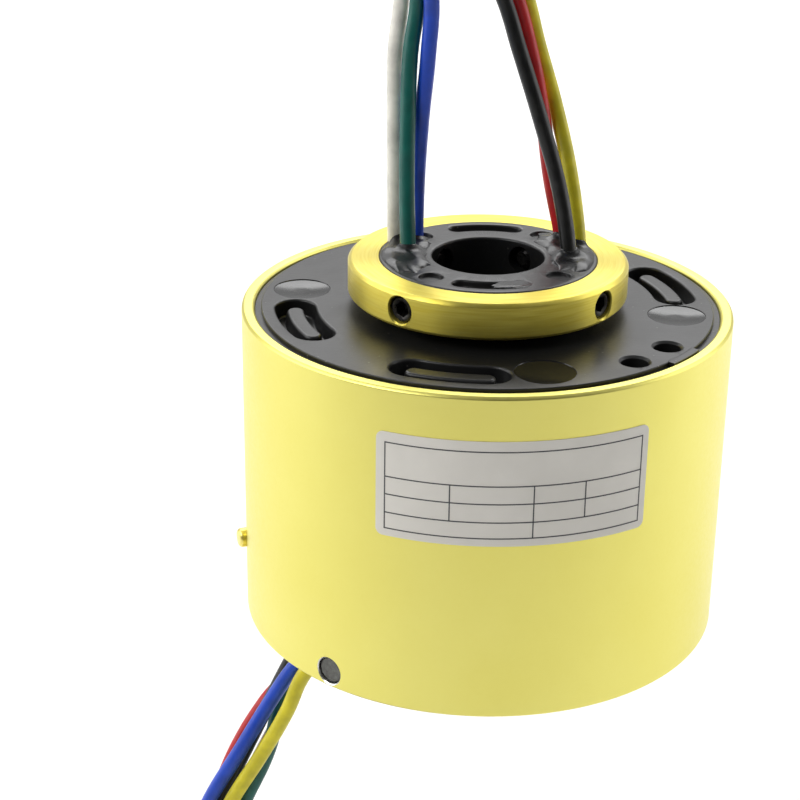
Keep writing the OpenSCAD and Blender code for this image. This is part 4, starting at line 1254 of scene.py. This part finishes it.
print("ties are", TIE_W, "mm wide and", TIE_T, "mm thick")

# %% [markdown]
# The head is a small block with its outer face sunk in, where the strap runs through, and the
# strap's cut end sticks out of it.

# %% Head and tail of a tie
HEAD_X, HEAD_SIZE = 15.35, (2.2, 4, 3.4)
TAIL_X, TAIL_SIZE, TAIL_UP = 15.2, (0.9, TIE_W, 5), 3.6


def tie_head(level):
    """The block beside the coil, with its outer face sunk in."""
    head = bmesh.new()
    bmesh.ops.create_cube(head, size=1)
    bmesh.ops.scale(head, vec=Vector(HEAD_SIZE) * MM, verts=head.verts)
    bmesh.ops.translate(head, verts=head.verts, vec=Vector((HEAD_X, 0, level)) * MM)
    bmesh.ops.bevel(head, geom=head.edges[:], offset=0.35 * MM, offset_type="OFFSET", segments=3,
                    profile=0.5, affect="EDGES", material=-1)
    outer = max(head.faces, key=lambda face: face.calc_center_median().x)
    bmesh.ops.inset_region(head, faces=[outer], thickness=0.6 * MM, depth=0)
    bmesh.ops.translate(head, verts=outer.verts, vec=(-0.5 * MM, 0, 0))
    return head


def tie_tail(level):
    """The strap's cut end, which stands beside the head."""
    tail = bmesh.new()
    bmesh.ops.create_cube(tail, size=1)
    bmesh.ops.scale(tail, vec=Vector(TAIL_SIZE) * MM, verts=tail.verts)
    bmesh.ops.translate(tail, verts=tail.verts, vec=Vector((TAIL_X, 0, level + TAIL_UP)) * MM)
    bmesh.ops.bevel(tail, geom=tail.edges[:], offset=0.15 * MM, offset_type="OFFSET", segments=2,
                    profile=0.5, affect="EDGES", material=-1)
    return tail


print("head sizes:", HEAD_SIZE, "tail sizes:", TAIL_SIZE)

# %% [markdown]
# Both coils use the same tie. Each is made upright, turned to its direction, and the pair is then
# moved to its coil. The lower coil lies on its side, so its pair is tipped over as well.

# %% Ties on both coils
def tie(in_h, out_h, turn):
    """One whole tie, turned to its direction round the coil."""
    whole = joined([tie_strap(in_h, out_h), tie_head(out_h / 2), tie_tail(out_h / 2)])
    bmesh.ops.recalc_face_normals(whole, faces=whole.faces)
    turn_to(whole, turn)
    return whole


def coil_ties(name, in_h, out_h, turns, place, body, node):
    """All ties of one coil as one piece, moved to the coil's place."""
    whole = joined([tie(in_h, out_h, turn) for turn in turns])
    bmesh.ops.transform(whole, matrix=place, verts=whole.verts)
    settle(piece_from(name, whole, nylon), body, "nylon_tie", node)


coil_ties("rotor_coil_ties", 18, 13.4, (20, 230), Matrix.Translation((0, 0, ROTOR_COIL_Z * MM)),
          "rotor", "rotor_lead_ties")
coil_ties("stator_coil_ties", 17.4, 13.2, (70, 265),
          Matrix.Translation(Vector((STATOR_COIL_X, STATOR_COIL_Y, STATOR_COIL_Z)) * MM)
          @ Matrix.Rotation(-math.pi / 2, 4, "X"), "stator", "stator_lead_ties")

# %% [markdown]
# The free ends are stripped for 6 mm. Seven tinned strands show, six of them laid round the
# middle one. A spin with a step along its axis is a screw, and that is just how a strand lies.

# %% Bare ends
tinned = new_finish("tinned_copper", (214, 206, 192), metal=1.0, rough=0.3)
wear(tinned, Roughness=between(tinned, grain(tinned, 2600), 0.22, 0.42))
relief(tinned, grain(tinned, 3000), 0.01)
BARE, STRAND_R, STRAND_OUT, LAY_STEPS = 6, 0.15, 0.29, 14


def strand(angle, out):
    """One strand that starts in that direction and lies that far from the middle."""
    wire = bmesh.new()
    bmesh.ops.create_circle(wire, cap_ends=True, segments=8, radius=STRAND_R * MM)
    bmesh.ops.translate(wire, verts=wire.verts, vec=(out * MM, 0, 0))
    turn_to(wire, angle)
    bmesh.ops.spin(wire, geom=wire.faces[:], cent=(0, 0, 0), axis=(0, 0, 1),
                   dvec=(0, 0, BARE / LAY_STEPS * MM), angle=math.radians(240), steps=LAY_STEPS,
                   use_merge=False)
    bmesh.ops.remove_doubles(wire, verts=wire.verts, dist=0.001 * MM)
    bmesh.ops.holes_fill(wire, edges=[e for e in wire.edges if e.is_boundary], sides=0)
    bmesh.ops.recalc_face_normals(wire, faces=wire.faces)
    return wire


def bare_end(name, line, body):
    """Seven strands that go on from the end of the line."""
    last, before = line[-1] - line[-2], line[-2] - line[-3]
    ahead = (last * 1.5 - before * 0.5).normalized()
    bundle = joined([strand(0, 0)] + [strand(60 * k, STRAND_OUT) for k in range(6)])
    place = Matrix.Translation((line[-1] - ahead * 0.3) * MM) @ ahead.to_track_quat(
        "Z", "Y").to_matrix().to_4x4()
    bmesh.ops.transform(bundle, matrix=place, verts=bundle.verts)
    piece = piece_from(name, bundle, tinned)
    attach(piece, body)
    return piece


for body, lines in (("rotor", rotor_lines), ("stator", stator_lines)):
    for colour, line in lines.items():
        end = bare_end(body + "_bare_end_" + colour, line, body)
print("bare ends:", 2 * len(LEAD_COLOURS))

# %% [markdown]
# ## Finishes for the parts inside
# The bearings, rings, barriers, brushes and the board have the right shapes already. They keep
# their CAD meshes, and each gets the finish of its own material. Races and contact rings are
# turned or ground, so they share the lines of the collar, only finer.

# %% Steel, gold plate, copper and board
steel = new_finish("ground_steel", (214, 215, 218), metal=1.0, rough=0.22)
wear(steel, Roughness=between(steel, ring_lines(steel, 12000, 4), 0.14, 0.3))
relief(steel, ring_lines(steel, 12000, 4), 0.004)
ball_steel = new_finish("polished_balls", (222, 223, 226), metal=1.0, rough=0.08)
wear(ball_steel, Roughness=between(ball_steel, grain(ball_steel, 1500), 0.05, 0.14))
cage_brass = new_finish("pressed_brass", (212, 170, 92), metal=1.0, rough=0.36)
wear(cage_brass, Roughness=between(cage_brass, grain(cage_brass, 1800), 0.28, 0.46))
plate_gold = new_finish("gold_plate", (252, 208, 120), metal=1.0, rough=0.2)
wear(plate_gold, Roughness=between(plate_gold, ring_lines(plate_gold, 10000, 3), 0.12, 0.3))
copper = new_finish("drawn_copper", (226, 142, 96), metal=1.0, rough=0.32)
wear(copper, Roughness=between(copper, grain(copper, 2000), 0.24, 0.42))
spring_steel = new_finish("spring_steel", (128, 130, 134), metal=1.0, rough=0.34)
wear(spring_steel, Roughness=between(spring_steel, grain(spring_steel, 1600), 0.26, 0.44))
board = new_finish("solder_mask", (16, 84, 46), rough=0.3)
weave = add_node(board, "ShaderNodeTexWave", {"Vector": place_of(board), "Scale": 900.0},
                 bands_direction="Z")
wear(board, Base_Color=blend_colours(board, weave.outputs["Fac"], (14, 78, 42), (20, 94, 52)))
wear(board, Roughness=between(board, grain(board, 900), 0.24, 0.4))
print("inside finishes:", steel.name, plate_gold.name, copper.name, board.name)

# %% [markdown]
# A CAD node is never moved or reshaped. Its finish is changed in its own material slots. The last
# lines look for a node that still shows and has been forgotten.

# %% Finishes of the nodes that stay
INSIDE = {
    steel: ("upper_bearing_inner_race", "lower_bearing_inner_race", "upper_bearing_outer_race",
            "lower_bearing_outer_race"),
    ball_steel: ("upper_bearing_balls", "lower_bearing_balls"),
    cage_brass: ("upper_bearing_cage", "lower_bearing_cage"),
    plate_gold: tuple(k + str(n) for k in ("contact_ring_", "brush_pair_") for n in range(1, 7)),
    cap_black: tuple("ring_barrier_" + str(n) for n in range(1, 6)) + (
        "end_barriers", "board_bracket"),
    copper: ("ring_wires", "board_wires"),
    spring_steel: ("rotor_retaining_ring", "board_screws"),
    board: ("brush_board",),
}
for finish, names in INSIDE.items():
    for name in names:
        node = nodes[name]
        if not node.material_slots:
            node.data.materials.append(finish)
        for holder in node.material_slots:
            holder.material = finish
shown = sorted(name for name, node in nodes.items() if not node.hide_render)
unfinished = set(shown) - {name for names in INSIDE.values() for name in names}
print("CAD nodes that keep their shape:", len(shown), "without a finish:", sorted(unfinished))

# %% [markdown]
# ## A white studio
# A plain sheet of white paper lies just below the lowest lead. It belongs to the studio and not
# to the part.

# %% Floor
paper = new_finish("white_paper", (252, 252, 252), rough=0.9)
wear(paper, Roughness=between(paper, grain(paper, 300), 0.85, 0.95))
sweep = bmesh.new()
bmesh.ops.create_grid(sweep, x_segments=4, y_segments=4, size=6)
bmesh.ops.translate(sweep, verts=sweep.verts, vec=(0, 0, cad_box[0][2] - 0.2 * MM))
floor = piece_from("floor", sweep, paper)
print("floor at", round(floor.bound_box[0][2] / MM, 1), "mm")

# %% [markdown]
# The room is white behind the part and darker in front of it. The front of a shiny tube shows what
# is in front of it, and that is what gives the gold its depth. A whole studio could be modelled
# round it, but one ramp from front to back is enough.

# %% Room light
ROOM_FRONT, ROOM_BACK = 0.06, 0.6
room = bpy.data.worlds.new("room")
bpy.context.scene.world = room
room.use_nodes = True
air = room.node_tree
toward = air.nodes.new("ShaderNodeTexCoord")
parts = air.nodes.new("ShaderNodeSeparateXYZ")
air.links.new(toward.outputs["Generated"], parts.inputs["Vector"])
front_to_back = air.nodes.new("ShaderNodeMapRange")
front_to_back.interpolation_type = "SMOOTHSTEP"
for socket, value in (("From Min", -0.9), ("From Max", 0.5),
                      ("To Min", ROOM_FRONT), ("To Max", ROOM_BACK)):
    front_to_back.inputs[socket].default_value = value
air.links.new(parts.outputs["Y"], front_to_back.inputs["Value"])
air.links.new(front_to_back.outputs["Result"], air.nodes["Background"].inputs["Strength"])
air.nodes["Background"].inputs["Color"].default_value = (1, 1, 1, 1)
bpy.context.scene.view_settings.view_transform = "Standard"
print("room light from", ROOM_FRONT, "in front to", ROOM_BACK, "behind")

# %% [markdown]
# Large softboxes give soft shadows. Two stand at the sides and one above the floor behind, which
# turns the paper pure white. A small one in front at the left lights the leads and the label, with
# a narrow spread, so that it leaves the floor in front alone.

# %% Softboxes
def softbox(name, place, aim, width, height, watts, spread=180):
    """A rectangular lamp at that place, in metres, which looks at aim."""
    light = bpy.data.lights.new(name, "AREA")
    light.shape, light.size, light.size_y, light.energy = "RECTANGLE", width, height, watts
    light.spread = math.radians(spread)
    lamp = bpy.data.objects.new(name, light)
    bpy.context.scene.collection.objects.link(lamp)
    lamp.location = place
    lamp.rotation_mode = "QUATERNION"
    lamp.rotation_quaternion = (Vector(aim) - Vector(place)).to_track_quat("-Z", "Y")


softbox("left_softbox", (-0.55, 0.05, 0.22), (0, 0, 0.02), 0.45, 0.45, 1.15)
softbox("right_softbox", (0.55, 0.1, 0.22), (0, 0, 0.02), 0.45, 0.45, 0.85)
softbox("front_softbox", (-0.45, -0.28, 0.5), (0, 0, 0.05), 0.3, 0.3, 0.15, 50)
softbox("back_softbox", (0, 0.7, 0.6), (0, 0.45, -0.06), 1.2, 0.6, 7)
print("softboxes:", len(bpy.data.lights))
